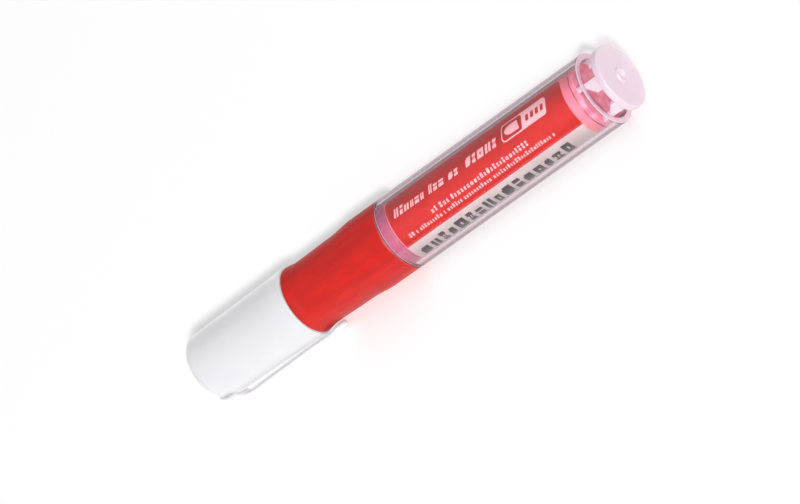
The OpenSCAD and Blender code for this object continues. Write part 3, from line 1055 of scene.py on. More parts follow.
@dataclass(frozen=True)
class Piece:
    """What a finished mesh is called, rides on, stands for and is made of."""

    name: str
    body: str
    slot: str
    finish: Finish
    stands_for: tuple[str, ...] = ()
    crease: float = 28.0
    second: Finish | None = None

    def show(self, mesh: bmesh.types.BMesh) -> bpy.types.Object:
        """Makes the piece's object from its mesh, hangs it on its body and hides the CAD nodes that it
        stands for.

        Args:
            mesh: The closed mesh in the frame's place; it is freed.

        Returns:
            The new object.
        """
        data = bpy.data.meshes.new(self.name)
        mesh.to_mesh(data)
        mesh.free()
        data.materials.append(self.finish.material())
        if self.second is None:
            data.polygons.foreach_set("material_index", [0] * len(data.polygons))
        else:
            data.materials.append(self.second.material())
        data.polygons.foreach_set("use_smooth", [True] * len(data.polygons))
        data.set_sharp_from_angle(angle=math.radians(self.crease))
        made = bpy.data.objects.new(self.name, data)
        bpy.context.scene.collection.objects.link(made)
        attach(made, self.body)
        if self.stands_for:
            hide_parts(*self.stands_for)
        log.info("%s: %d faces on %s", self.name, len(data.polygons), self.body)
        return made


def dress_node(node: str, finish: Finish) -> None:
    """Gives a CAD node that stays in the model its finish.

    Args:
        node: The node's name.
        finish: What it is made of.
    """
    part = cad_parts[node]
    part.data.materials.clear()
    part.data.materials.append(finish.material())
    log.info("%s: CAD node in %s", node, finish.name)


@dataclass
class Cap:
    """The cap with its moulded-on pocket clip, and the liner that seals the nib.

    Stations ending in _a run from the cap's closed end, _r are radii, _l lengths along the pen,
    _w widths, _t thicknesses and _h heights above the axis, all in mm. Angles are in degrees.
    """

    end_r: float = 8.75
    mouth_r: float = 9.35
    edge_r: float = 3.4
    wall: float = 1.0
    floor: float = 1.4
    lip: float = 0.35
    land_r: float = 8.05
    land: Point = (3.6, 1.2)
    overhang: float = 5.4
    gate_r: float = 0.75
    clip_angle: float = 131.49
    clip_h: float = 11.4
    clip_w: float = 5.2
    clip_t: float = 1.05
    tip_t: float = 0.72
    bow_r: float = 9.0
    bow_a: float = 9.2
    bend_r: float = 45.0
    ramp: float = 32.0
    drop: float = 0.3
    gap_start: float = 4.5
    lift_l: float = 2.2
    root_l: float = 0.9
    foot: float = 0.9
    flare_start: float = 2.0
    flare_l: float = 8.0
    flare_w: float = 0.7
    thin_l: float = 8.0
    nose_l: float = 0.35
    nose_t: float = 0.35
    sunk: float = 0.55
    under_r: float = 0.3
    corner_r: float = 0.42

    def __post_init__(self) -> None:
        """Takes the cap's length from the frame."""
        self.tip_a = PEN.span("cap_shell")[1]
        self.length = self.tip_a - self.overhang
        self.bend_a = self.length - 4.6

    def build(self) -> None:
        """Makes the shell with its clip, and the liner."""
        shell = joined([turned(self.shell_outline()), self.clip()])
        Piece("cap_shell_moulded", "cap", "cap_plastic", CAP_WHITE, ("cap_shell",)).show(shell)
        Piece("cap_liner_moulded", "cap", "natural_plastic", NATURAL,
              ("cap_liner",)).show(self.liner())

    def outside(self, station: float) -> float:
        """Radius of the cap's outside."""
        if station >= self.edge_r:
            share = (station - self.edge_r) / (self.length - self.edge_r)
            return self.end_r + (self.mouth_r - self.end_r) * share
        rise = self.edge_r ** 2 - (self.edge_r - max(station, 0.0)) ** 2
        return self.end_r - self.edge_r + math.sqrt(rise)

    def inside(self, station: float) -> float:
        """Radius of the cap's tapered inside."""
        rise = (self.mouth_r - self.end_r) / (self.length - self.edge_r)
        return self.end_r - self.wall + rise * (station - self.edge_r)

    def shell_outline(self) -> list[Point]:
        """The cap cut through its axis.

        Returns:
            Its (station, radius) points, from the gate at the closed end to the floor inside.
        """
        mouth = self.length
        land_start, land_end = mouth - self.land[0], mouth - self.land[1]
        return rounded([
            Corner(0.16, 0), Corner(0.16, self.gate_r - 0.25, 0.08), Corner(0, self.gate_r, 0.12),
            Corner(0, self.end_r - 0.02, self.edge_r), Corner(mouth, self.mouth_r, self.lip),
            Corner(mouth, self.inside(mouth) + 0.25, 0.08), Corner(mouth - 0.6, self.inside(mouth), 0.3),
            Corner(land_end + 0.25, self.inside(land_end), 0.1), Corner(land_end, self.land_r, 0.15),
            Corner(land_start, self.land_r, 0.15),
            Corner(land_start - 0.25, self.inside(land_start), 0.1),
            Corner(self.floor, self.inside(0), self.edge_r - self.wall), Corner(self.floor, 0),
        ], closed=False, steps=10)

    def clip_top(self, station: float) -> float:
        """Height of the clip's outer face above the axis.

        It climbs a ramp, rounds a bow, falls gently and bends down towards its tip.

        Args:
            station: Where along the pen, in mm.

        Returns:
            The height, in mm.
        """
        crown = self.clip_h - self.bow_r
        knee = self.bow_a - self.bow_r * math.sin(math.radians(self.ramp))
        if station < knee:
            knee_h = crown + self.bow_r * math.cos(math.radians(self.ramp))
            line = knee_h - (knee - station) * math.tan(math.radians(self.ramp))
            return self.melt(line, self.outside(station))
        if station < self.bow_a:
            return crown + math.sqrt(self.bow_r ** 2 - (self.bow_a - station) ** 2)
        if station < self.bend_a:
            return self.clip_h - self.drop * (station - self.bow_a) / (self.bend_a - self.bow_a)
        sag = self.bend_r - math.sqrt(self.bend_r ** 2 - (station - self.bend_a) ** 2)
        return self.clip_h - self.drop - sag

    @staticmethod
    def melt(first: float, second: float, reach: float = 0.5) -> float:
        """The larger of two heights, blended where they meet."""
        share = max(reach - abs(first - second), 0.0) / reach
        return max(first, second) + share * share * reach / 4

    def clip_section(self, station: float) -> list[Point]:
        """The clip cut across the pen.

        Args:
            station: Where along the pen, in mm.

        Returns:
            The cut as (side, height) points, from one side over the top to the other.
        """
        top = self.clip_top(station)
        skin = self.outside(station)
        thinner = smooth_step((station - self.bend_a) / self.thin_l)
        thick = self.clip_t + (self.tip_t - self.clip_t) * thinner
        lift = min(1.0, max(0.0, (station - self.gap_start) / self.lift_l))
        rise = math.sqrt(1 - (1 - lift) ** 2)
        root = 1 - smooth_step((station - self.gap_start) / self.root_l)
        flare = 1 - smooth_step((station - self.flare_start) / self.flare_l)
        half = self.clip_w / 2 + self.flare_w * flare
        to_end = self.tip_a - station
        if to_end < self.clip_w / 2:
            half *= math.sqrt(max(1 - (1 - to_end / (self.clip_w / 2)) ** 2, 1e-4))
            nose = min(1.0, to_end / self.nose_l)
            thick *= self.nose_t + (1 - self.nose_t) * math.sqrt(1 - (1 - nose) ** 2)
            top -= (self.tip_t - thick) / 2
        buried = skin - self.sunk
        foot_h = math.sqrt(max(skin ** 2 - (half + self.foot) ** 2, 1.0)) - 0.04
        under = foot_h * root + (buried + (top - thick - buried) * rise) * (1 - root)
        base = min(under, buried * root + under * (1 - root))
        bend = self.foot * root - self.under_r * (1 - root)
        bend = max(bend, -0.45 * thick, -0.8 * half)
        corner = min(self.corner_r, 0.45 * (top - under), 0.8 * half)
        side = [(half + bend, base)]
        for k in range(6):
            turn = math.radians(18 * k)
            side.append((half + bend - bend * math.sin(turn),
                         under + abs(bend) * (1 - math.cos(turn))))
        for k in range(6):
            turn = math.radians(18 * k)
            side.append((half - corner + corner * math.cos(turn),
                         top - corner + corner * math.sin(turn)))
        side.append((max(half - corner - 0.2, 0.3 * half), top + 0.006))
        mirrored = [(-y, h) for y, h in reversed(side)]
        return side + [(0.0, top + 0.03)] + mirrored

    def clip(self) -> bmesh.types.BMesh:
        """The clip as a closed tongue, with its root sunk into the cap's wall.

        Returns:
            A closed shell.
        """
        near = [1.15 + 0.22 * i for i in range(40)]
        far = [10.0 + 1.0 * i for i in range(26)]
        tongue = [self.tip_a - self.clip_w / 2 * (1 - math.sin(math.radians(90 * i / 16)))
                  for i in range(17)]
        stations = near + far + tongue
        mesh = bmesh.new()
        rings = []
        turn = math.radians(self.clip_angle)
        for station in stations:
            ring = []
            for side, height in self.clip_section(min(station, self.tip_a - 0.004)):
                place = PEN.at(station, height, self.clip_angle)
                shift = Vector((0.0, -math.cos(turn), -math.sin(turn))) * side * MM
                ring.append(mesh.verts.new(place + shift))
            rings.append(ring)
        count = len(rings[0])
        for first, second in zip(rings, rings[1:]):
            for i in range(count):
                j = (i + 1) % count
                mesh.faces.new((first[i], first[j], second[j], second[i]))
        mesh.faces.new(rings[0])
        mesh.faces.new(rings[-1])
        tidy(mesh)
        return mesh

    def liner(self) -> bmesh.types.BMesh:
        """The inner cup, with four fins that centre it in the cap.

        Returns:
            A closed shell for the cup and one for each fin.
        """
        start, mouth = PEN.span("cap_liner")
        bore, base_r = 4.8, 5.6
        cup = bore + 0.9
        body = turned(rounded([
            Corner(start, 0), Corner(start, base_r, 0.2), Corner(start + 1.2, base_r, 0.2),
            Corner(start + 1.6, cup, 0.2), Corner(mouth, cup, 0.3), Corner(mouth, bore, 0.25),
            Corner(start + 1.2, bore, 0.8), Corner(start + 1.0, 0),
        ], closed=False), around=96)
        fin = bmesh.new()
        bmesh.ops.create_cube(fin, size=1.0)
        reach = self.inside(6.0) - cup
        bmesh.ops.scale(fin, verts=fin.verts, vec=Vector((7.0, 0.8, reach + 0.3)) * MM)
        bmesh.ops.translate(fin, verts=fin.verts, vec=Vector((0, 0, cup + reach / 2 - 0.15)) * MM)
        bmesh.ops.bevel(fin, geom=fin.edges[:], offset=0.12 * MM, segments=2, affect="EDGES")
        place = PEN.at(9.5, 0, 0)
        fins = SHAPES.repeat.run_on(fin, Count=4, Place=place, Turn=math.pi / 2)
        return joined([body, fins])


@dataclass
class WritingEnd:
    """The bullet nib, its holder and the wick behind it. Sizes are in mm, _l from the holder's tip."""

    nib_r: float = 2.3
    nose: float = 3.6
    seal_r: float = 4.75
    seal_l: float = 4.5
    flange_l: float = 9.1
    flange_back_l: float = 10.5
    stem_r: float = 5.0

    def build(self) -> None:
        """Makes the nib, the holder and the wick."""
        Piece("nib_bullet", "barrel", "nib_fibre", NIB_FIBRE, ("nib",)).show(self.nib())
        Piece("nib_holder_moulded", "barrel", "natural_plastic", NATURAL,
              ("nib_holder",)).show(self.holder())
        start, end = PEN.span("feed_wick")
        wick_r = PEN.radius("feed_wick")
        wick = turned(rounded([Corner(start, 0), Corner(start, wick_r, 0.12), Corner(end, wick_r, 0.3),
                               Corner(end, 0)], closed=False), around=48)
        Piece("feed_wick_fibre", "barrel", "nib_fibre", NIB_FIBRE, ("feed_wick",)).show(wick)

    def nib(self) -> bmesh.types.BMesh:
        """A rod with a bullet nose and a chamfered back.

        Returns:
            A closed shell.
        """
        tip, back = PEN.span("nib")
        bullet = []
        for i in range(17):
            share = (i / 16) ** 2
            bullet.append((tip + self.nose * share, self.nib_r * math.sqrt(1 - (1 - share) ** 2)))
        tail = rounded([Corner(*bullet[-1]), Corner(back - 0.6, self.nib_r, 0.2),
                        Corner(back, self.nib_r - 0.6, 0.15), Corner(back, 0)], closed=False)
        return turned(bullet + tail[1:], around=72)

    def holder(self) -> bmesh.types.BMesh:
        """A nozzle with a sealing collar, a flange and a spigot.

        Returns:
            A closed shell.
        """
        tip, back = PEN.span("nib_holder")
        seal_a, flange_a, stem_a = tip + self.seal_l, tip + self.flange_l, tip + self.flange_back_l
        flange_r = PEN.radius("nib_holder")
        return turned(rounded([
            Corner(tip, self.nib_r, 0.1), Corner(tip, self.nib_r + 0.75, 0.25),
            Corner(seal_a - 0.8, self.seal_r - 0.5, 0.6), Corner(seal_a, self.seal_r, 0.5),
            Corner(flange_a, self.seal_r, 0.3), Corner(flange_a + 0.1, flange_r, 0.15),
            Corner(stem_a, flange_r, 0.15), Corner(stem_a, self.stem_r), Corner(back, self.stem_r, 0.3),
            Corner(back, self.nib_r),
        ]), around=96)


@dataclass
class Grip:
    """The coloured grip, which the cap goes on and the hand holds.

    Endings: _r a radius, _l a length along the pen, _gap a distance from the nose, _back one from
    the rear, all in mm.
    """

    nose_r: float = 5.8
    nose_l: float = 3.2
    plug_r: float = 8.0
    shoulder_r: float = 8.95
    waist_r: float = 8.6
    shoulder_gap: float = 9.75
    waist_gap: float = 12.9
    slope: float = 0.2
    slope_l: float = 12.0
    swell_back: float = 16.4
    swell_l: float = 7.6
    holder_r: float = 5.0
    chamber_r: float = 6.8
    sleeve_r: float = 7.45
    around: int = 144

    def build(self) -> None:
        """Makes the grip: its outside by the swell's rule, the rest by its outline."""
        nose, rear = PEN.span("grip_section")
        grip_r = PEN.radius("grip_section")
        shoulder, waist = nose + self.shoulder_gap, nose + self.waist_gap
        edge = rear - 0.4
        dome = [Corner(nose + self.nose_l * (1 - math.cos(math.radians(11.25 * i))),
                       self.nose_r + (self.plug_r - self.nose_r) * math.sin(math.radians(11.25 * i)))
                for i in range(9)]
        neck = [Corner(shoulder + 0.5 + (waist - shoulder - 0.5) * i / 10,
                       self.shoulder_r + (self.waist_r - self.shoulder_r) * smooth_step(i / 10))
                for i in range(11)]
        rest = turned_open(rounded([
            Corner(edge, grip_r), Corner(rear, grip_r - 0.22, 0.1), Corner(rear, self.sleeve_r, 0.1),
            Corner(rear - 7.5, self.sleeve_r), Corner(rear - 7.5, self.chamber_r),
            Corner(nose + 5.5, self.chamber_r), Corner(nose + 5.5, self.holder_r),
            Corner(nose, self.holder_r, 0.1), *dome, Corner(shoulder, self.plug_r, 0.08),
            Corner(shoulder, self.shoulder_r, 0.3), *neck,
        ], closed=False), self.around)
        swell_start = rear - self.swell_back - waist
        whole = SHAPES.swell.run_on(
            rest, Around=self.around, Stations=48, Place=PEN.at(waist, 0, 0),
            Length=(edge - waist) * MM, Waist=self.waist_r * MM, Slope=self.slope * MM,
            Slope_Length=self.slope_l * MM, Swell=(grip_r - self.waist_r - self.slope) * MM,
            Swell_Start=swell_start * MM, Swell_Length=self.swell_l * MM,
            Finish=GRIP_RED.material())
        tidy(whole)
        Piece("grip_moulded", "barrel", "grip_plastic", GRIP_RED, ("grip_section",)).show(whole)


@dataclass
class Feed:
    """The ink collector, the spigot behind it, and the sleeve that joins grip and barrel."""

    core_r: float = 3.4
    bore_r: float = 1.25
    fin_r: float = 6.6
    collar_l: float = 1.6
    fins: int = 18
    slot: float = 0.5

    def build(self) -> None:
        """Makes the three pieces."""
        Piece("ink_collector_comb", "barrel", "collector_plastic", COLLECTOR,
              ("ink_collector",)).show(self.collector())
        Piece("piercing_spigot_moulded", "barrel", "natural_plastic", NATURAL,
              ("piercing_spigot",)).show(self.spigot())
        Piece("joint_sleeve_moulded", "barrel", "sleeve_plastic", SLEEVE_PINK,
              ("joint_sleeve",)).show(self.sleeve())

    def collector(self) -> bmesh.types.BMesh:
        """A core with a collar at each end and a comb of slotted fins between them.

        Returns:
            A closed shell for the core and one for each fin.
        """
        start, end = PEN.span("ink_collector")
        collar_r = PEN.radius("ink_collector")
        first_end, last_start = start + self.collar_l, end - self.collar_l
        core = turned(rounded([
            Corner(start, self.bore_r, 0.1), Corner(start, collar_r, 0.2),
            Corner(first_end, collar_r, 0.2), Corner(first_end, self.core_r, 0.15),
            Corner(last_start, self.core_r, 0.15), Corner(last_start, collar_r, 0.2),
            Corner(end, collar_r, 0.2), Corner(end, self.bore_r, 0.1),
        ]), around=96)
        pitch = (end - start - 2 * self.collar_l) / (self.fins + 0.5)
        gap = math.degrees(self.slot / 5.0)
        thick = pitch / 2
        fin = turned(rounded([
            Corner(0, self.core_r - 0.3), Corner(0, self.fin_r, 0.1), Corner(thick, self.fin_r, 0.1),
            Corner(thick, self.core_r - 0.3)], steps=3), around=72, sweep=360 - gap, start=180 + gap / 2)
        bmesh.ops.translate(fin, verts=fin.verts, vec=-PEN.at(0, 0, 0))
        first = start + self.collar_l + pitch / 2
        comb = SHAPES.repeat.run_on(fin, Count=self.fins, Place=PEN.at(first, 0, 0),
                                    Step=(pitch * MM, 0.0, 0.0))
        return joined([core, comb])

    def spigot(self) -> bmesh.types.BMesh:
        """A disc that closes the chamber, with a hollow point that opens the cartridge.

        Returns:
            A closed shell.
        """
        start, end = PEN.span("piercing_spigot")
        disc_r = PEN.radius("piercing_spigot")
        tube_r, disc_end = 2.2, start + 1.8
        return turned(rounded([
            Corner(start, self.bore_r, 0.1), Corner(start, disc_r, 0.15), Corner(disc_end, disc_r, 0.25),
            Corner(disc_end, tube_r, 0.8), Corner(end - 1.6, tube_r, 0.4),
            Corner(end, self.bore_r + 0.3, 0.1), Corner(end, self.bore_r),
        ]), around=96)

    def sleeve(self) -> bmesh.types.BMesh:
        """A pressed-in sleeve with a wide end in the tube.

        Returns:
            A closed shell.
        """
        start, end = PEN.span("joint_sleeve")
        front = PEN.span("barrel_tube")[0]
        wide, narrow, bore = PEN.radius("joint_sleeve"), 7.45, 6.8
        return turned(rounded([
            Corner(start, bore, 0.1), Corner(start, narrow, 0.15), Corner(front, narrow),
            Corner(front, wide, 0.05), Corner(end, wide, 0.3), Corner(end, bore, 0.2),
        ]))


def mark_mesh() -> bmesh.types.BMesh:
    """The printed marks, each one metre square and MARK_PITCH from the last.

    Returns:
        One mesh with a closed shell for each shape, in the order of MarkShape.
    """
    mesh = bmesh.new()
    for k, shape in enumerate(MarkShape):
        flat = bmesh.new()
        cells = [(i, j) for i in range(MARK_WIDE) for j in range(MARK_HIGH)
                 if (i, j) not in shape.value]
        for i, j in cells:
            corners = ((i, j), (i + 1, j), (i + 1, j + 1), (i, j + 1))
            flat.faces.new([flat.verts.new((x / MARK_WIDE - 0.5, y / MARK_HIGH - 0.5, 0))
                            for x, y in corners])
        bmesh.ops.remove_doubles(flat, verts=flat.verts, dist=1e-4)
        raised = bmesh.ops.extrude_face_region(flat, geom=flat.faces[:], use_keep_orig=True)["geom"]
        for vert in (v for v in raised if isinstance(v, bmesh.types.BMVert)):
            vert.co.z = 1.0
        tidy(flat, 1e-4)
        bmesh.ops.translate(flat, verts=flat.verts, vec=(MARK_PITCH * k, 0, 0))
        mesh = joined([mesh, flat])
    return mesh


@dataclass(frozen=True)
class PrintRow:
    """A row of printed marks that stand for words.

    Attributes:
        name: What the row is called.
        finish: Its printing ink.
        first: Station where it starts, in mm.
        last: Station where it ends, in mm.
        angle: Its middle, in degrees from the printed face's middle.
        height: Height of its tall marks, in mm.
        count: Number of marks.
        gap: Gap after a mark, in mark widths.
        word_share: Share of the marks that end a word.
        low: Height of the low marks, against the tall ones.
        slant: How far the marks lean.
        seed: Seed of the row's random numbers.
    """

    name: str
    finish: Finish
    first: float
    last: float
    angle: float
    height: float
    count: int
    gap: float
    word_share: float
    low: float = 0.7
    slant: float = 0.0
    seed: int = 1


@dataclass
class Barrel:
    """The clear tube and the printed film inside it.

    Stations are in mm from the cap's closed end. Angles are in degrees: film_edge is a world
    angle, and the stripe, the rows and the badge count theirs from the printed face's middle.
    """

    wall: float = 1.5
    edge: float = 0.35
    rim_l: float = 0.2
    face_angle: float = 45.5
    film_open: float = 62.0
    film_edge: float = -23.2
    border: float = 0.28
    top_border: float = 8.0
    tail_border: float = 2.4
    film_out: float = 0.045
    film_in: float = 0.15
    stripe: Point = (29.8, 100.0)
    stripe_line: float = 1.6
    print_t: float = 0.015
    badge: Point = (105.4, 119.6)
    badge_split: float = 111.9
    badge_angle: float = -34.5
    badge_half: float = 14.5
    badge_lean: float = 0.3
    badge_rim: float = 2.0
    bar_pitch: float = 1.55
    bar_w: float = 0.9
    bar_half: float = 5.0
    nib_nose: float = 2.2
    nib_half: float = 1.05

    rows: tuple[PrintRow, ...] = (
        PrintRow("title", PRINT_WHITE, 70.3, 91.5, -30.8, 1.95, 11, 0.45, 0.1, 0.72, 0.35, 4),
        PrintRow("number", PRINT_WHITE, 93.6, 104.0, -30.8, 1.95, 5, 0.4, 0.0, 1.0, 0.35, 9),
        PrintRow("claim", PRINT_WHITE, 79.5, 111.0, 0.4, 1.2, 29, 0.8, 0.12, 0.68, 0.0, 12),
        PrintRow("advice", PRINT_WHITE, 70.8, 118.0, 13.6, 0.95, 54, 0.8, 0.14, 0.68, 0.0, 21),
        PrintRow("kind", PRINT_BLACK, 69.8, 119.4, 50.0, 3.1, 16, 0.42, 0.12, 0.8, 0.0, 7),
        PrintRow("note", PRINT_BLACK, 80.0, 112.0, 67.5, 1.3, 24, 0.45, 0.12, 0.85, 0.0, 5),
    )

    def __post_init__(self) -> None:
        """Takes the film's place from the frame."""
        self.film = PEN.span("barrel_label")
        self.film_r = PEN.radius("barrel_label")

    def build(self) -> None:
        """Makes the tube, the film and its printing."""
        start, end = PEN.span("barrel_tube")
        outer = PEN.radius("barrel_tube")
        bore = outer - self.wall
        tube = turned(rounded([
            Corner(start, bore, 0.06), Corner(start, outer, self.edge), Corner(end, outer, self.edge),
            Corner(end, bore, 0.25),
        ], steps=6), around=192)
        # Faces at the tube's two ends take the rim finish, with its painted glow and painted edge
        # highlight.
        for face in tube.faces:
            station = (face.calc_center_median().x - PEN.front) / MM
            face.material_index = int(not start + self.rim_l < station < end - self.rim_l)
        Piece("barrel_tube_clear", "barrel", "clear_barrel", CLEAR_TUBE, ("barrel_tube",),
              second=TUBE_RIM_PAINTED_LIGHT).show(tube)
        self.build_film()
        for row in self.rows:
            self.build_row(row)
        self.build_badge()

    def arc(self, angle: float, radius: float) -> float:
        """Distance round the pen of an angle, in mm."""
        return math.radians(angle) * radius

    def patch(self, first: Point, last: Point, layer: int, corner: float = 0.0,
              lean: float = 0.0) -> bmesh.types.BMesh:
        """A printed rectangle on the film.

        Args:
            first: Its lower station and angle.
            last: Its upper station and angle.
            layer: How many layers of print lie under it.
            corner: Radius of its corners, in mm.
            lean: How far its ends lean, as a share of its height.

        Returns:
            A closed shell.
        """
        inner = self.film_r - self.film_out + self.print_t * layer
        outer = inner + self.print_t
        low, high = self.arc(first[1], outer), self.arc(last[1], outer)
        push = lean * (high - low) / 2
        return wrapped_plate(rounded([
            Corner(first[0] + push, low, corner), Corner(last[0] + push, low, corner),
            Corner(last[0] - push, high, corner), Corner(first[0] - push, high, corner),
        ]), inner, outer)

    def build_film(self) -> None:
        """The film, its red field, and the grey stripe with its white line."""
        start, end = self.film
        top, foot = self.film_edge, self.film_edge + 360 - self.film_open
        skin = self.film_r - self.film_out
        low, high = self.arc(top, skin), self.arc(foot, skin)
        film = wrapped_plate(rounded([Corner(start, low, 1.6), Corner(end, low, 0.5),
                                      Corner(end, high, 0.5), Corner(start, high, 1.6)]),
                             self.film_r - self.film_in, skin)
        Piece("label_film", "barrel", "label_film", FILM_BASE, ("barrel_label",)).show(film)
        rim = math.degrees(self.border / skin)
        end -= self.tail_border
        start += self.border
        red = self.patch((start, top + self.top_border), (end, foot - rim), 0, 1.3)
        Piece("label_red_field", "barrel", "label_film", PRINT_RED).show(red)
        low_edge, high_edge = (self.face_angle + angle for angle in self.stripe)
        stripe = self.patch((start, low_edge), (end, high_edge), 1)
        Piece("label_grey_stripe", "barrel", "label_film", PRINT_GREY).show(stripe)
        line = self.patch((start, low_edge - self.stripe_line), (end, low_edge), 1)
        Piece("label_stripe_line", "barrel", "label_film", PRINT_WHITE).show(line)

    def build_row(self, row: PrintRow) -> None:
        """Makes one row of printed marks.

        Args:
            row: What it is like.
        """
        marks = SHAPES.print_row.run_on(
            mark_mesh(), Count=row.count, Length=(row.last - row.first) * MM, Low=row.low,
            Height=row.height * MM, Gap=row.gap, Word_Share=row.word_share, Slant=row.slant,
            Seed=row.seed, Place=PEN.at(row.first, 0, 0),
            Angle=math.radians(self.face_angle + row.angle),
            Radius=(self.film_r - self.print_t) * MM, Thickness=self.print_t * MM,
            Finish=row.finish.material())
        tidy(marks)
        Piece(f"label_row_{row.name}", "barrel", "label_film", row.finish).show(marks)

    def build_badge(self) -> None:
        """The badge that shows the nib's shape and, as bars, its line."""
        centre = self.face_angle + self.badge_angle
        low_edge, high_edge = centre - self.badge_half, centre + self.badge_half
        start, end = self.badge
        outer = self.patch((start, low_edge), (end, high_edge), 1, 0.9, self.badge_lean)
        Piece("label_badge_white", "barrel", "label_film", PRINT_WHITE).show(outer)
        inner = self.patch((start + 0.3, low_edge + self.badge_rim),
                           (self.badge_split, high_edge - self.badge_rim), 2, 0.7, self.badge_lean)
        bars = [self.patch((bar, centre - self.bar_half), (bar + self.bar_w, centre + self.bar_half),
                           2, 0.2, self.badge_lean)
                for bar in (self.badge_split + 1.3 + self.bar_pitch * i for i in range(4))]
        Piece("label_badge_red", "barrel", "label_film", PRINT_RED).show(joined([inner, *bars]))
        layer = self.film_r
        middle = self.arc(centre, layer)
        turns = [math.radians(15 * i) for i in range(7)]
        nib = [(start + 1.0 + self.nib_nose * (1 - math.cos(turn)), self.nib_half * math.sin(turn))
               for turn in turns]
        back = self.badge_split - 1.2
        outline = [(a, middle + w) for a, w in nib] + [(back, middle + self.nib_half)]
        outline += [(back, middle - self.nib_half)] + [(a, middle - w) for a, w in reversed(nib[1:])]
        drawn = wrapped_plate(outline, layer, layer + self.print_t)
        Piece("label_badge_nib", "barrel", "label_film", PRINT_WHITE).show(drawn)


@dataclass
class Refill:
    """The ink cartridge with its stopper, grommet and ink."""

    neck_r: float = 4.4
    neck_in: float = 3.4
    neck_l: float = 5.0
    shoulder_l: float = 2.6
    wall: float = 0.8
    bore: float = 2.25
    grommet_r: float = 2.9
    grommet_l: float = 2.2

    def build(self) -> None:
        """Makes the bottle, the stopper and the grommet, and dresses the ink."""
        start, end = PEN.span("cartridge_body")
        body_r = PEN.radius("cartridge_body")
        shoulder = start + self.neck_l
        full, bore_r = shoulder + self.shoulder_l, body_r - self.wall
        bottle = turned(rounded([
            Corner(start, self.neck_in, 0.1), Corner(start, self.neck_r, 0.2),
            Corner(shoulder, self.neck_r, 0.5), Corner(full, body_r, 1.4),
            Corner(end, body_r, 0.2), Corner(end, bore_r, 0.2),
            Corner(full + 0.6, bore_r, 1.4), Corner(shoulder + 0.9, self.neck_in, 0.5),
        ]))
        Piece("cartridge_bottle", "refill", "cartridge_plastic", CARTRIDGE,
              ("cartridge_body",)).show(bottle)
        front, back = PEN.span("cartridge_stopper")
        inner = back - self.grommet_l
        stopper = turned(rounded([
            Corner(front, self.bore, 0.15), Corner(front, self.neck_r, 0.2),
            Corner(start, self.neck_r, 0.1), Corner(start, self.neck_in),
            Corner(back, self.neck_in, 0.3), Corner(back, self.grommet_r, 0.1),
            Corner(inner, self.grommet_r), Corner(inner, self.bore),
        ]), around=96)
        Piece("cartridge_stopper_moulded", "refill", "natural_plastic", NATURAL,
              ("cartridge_stopper",)).show(stopper)
        seal = turned(rounded([
            Corner(inner, self.bore - 0.02, 0.2), Corner(inner, self.grommet_r - 0.01, 0.1),
            Corner(back, self.grommet_r - 0.01, 0.1), Corner(back, self.bore - 0.02, 0.3),
        ]), around=72)
        Piece("spigot_seal_rubber", "refill", "seal_rubber", SEAL_RUBBER, ("spigot_seal",)).show(seal)
        dress_node("ink_charge", RED_INK)


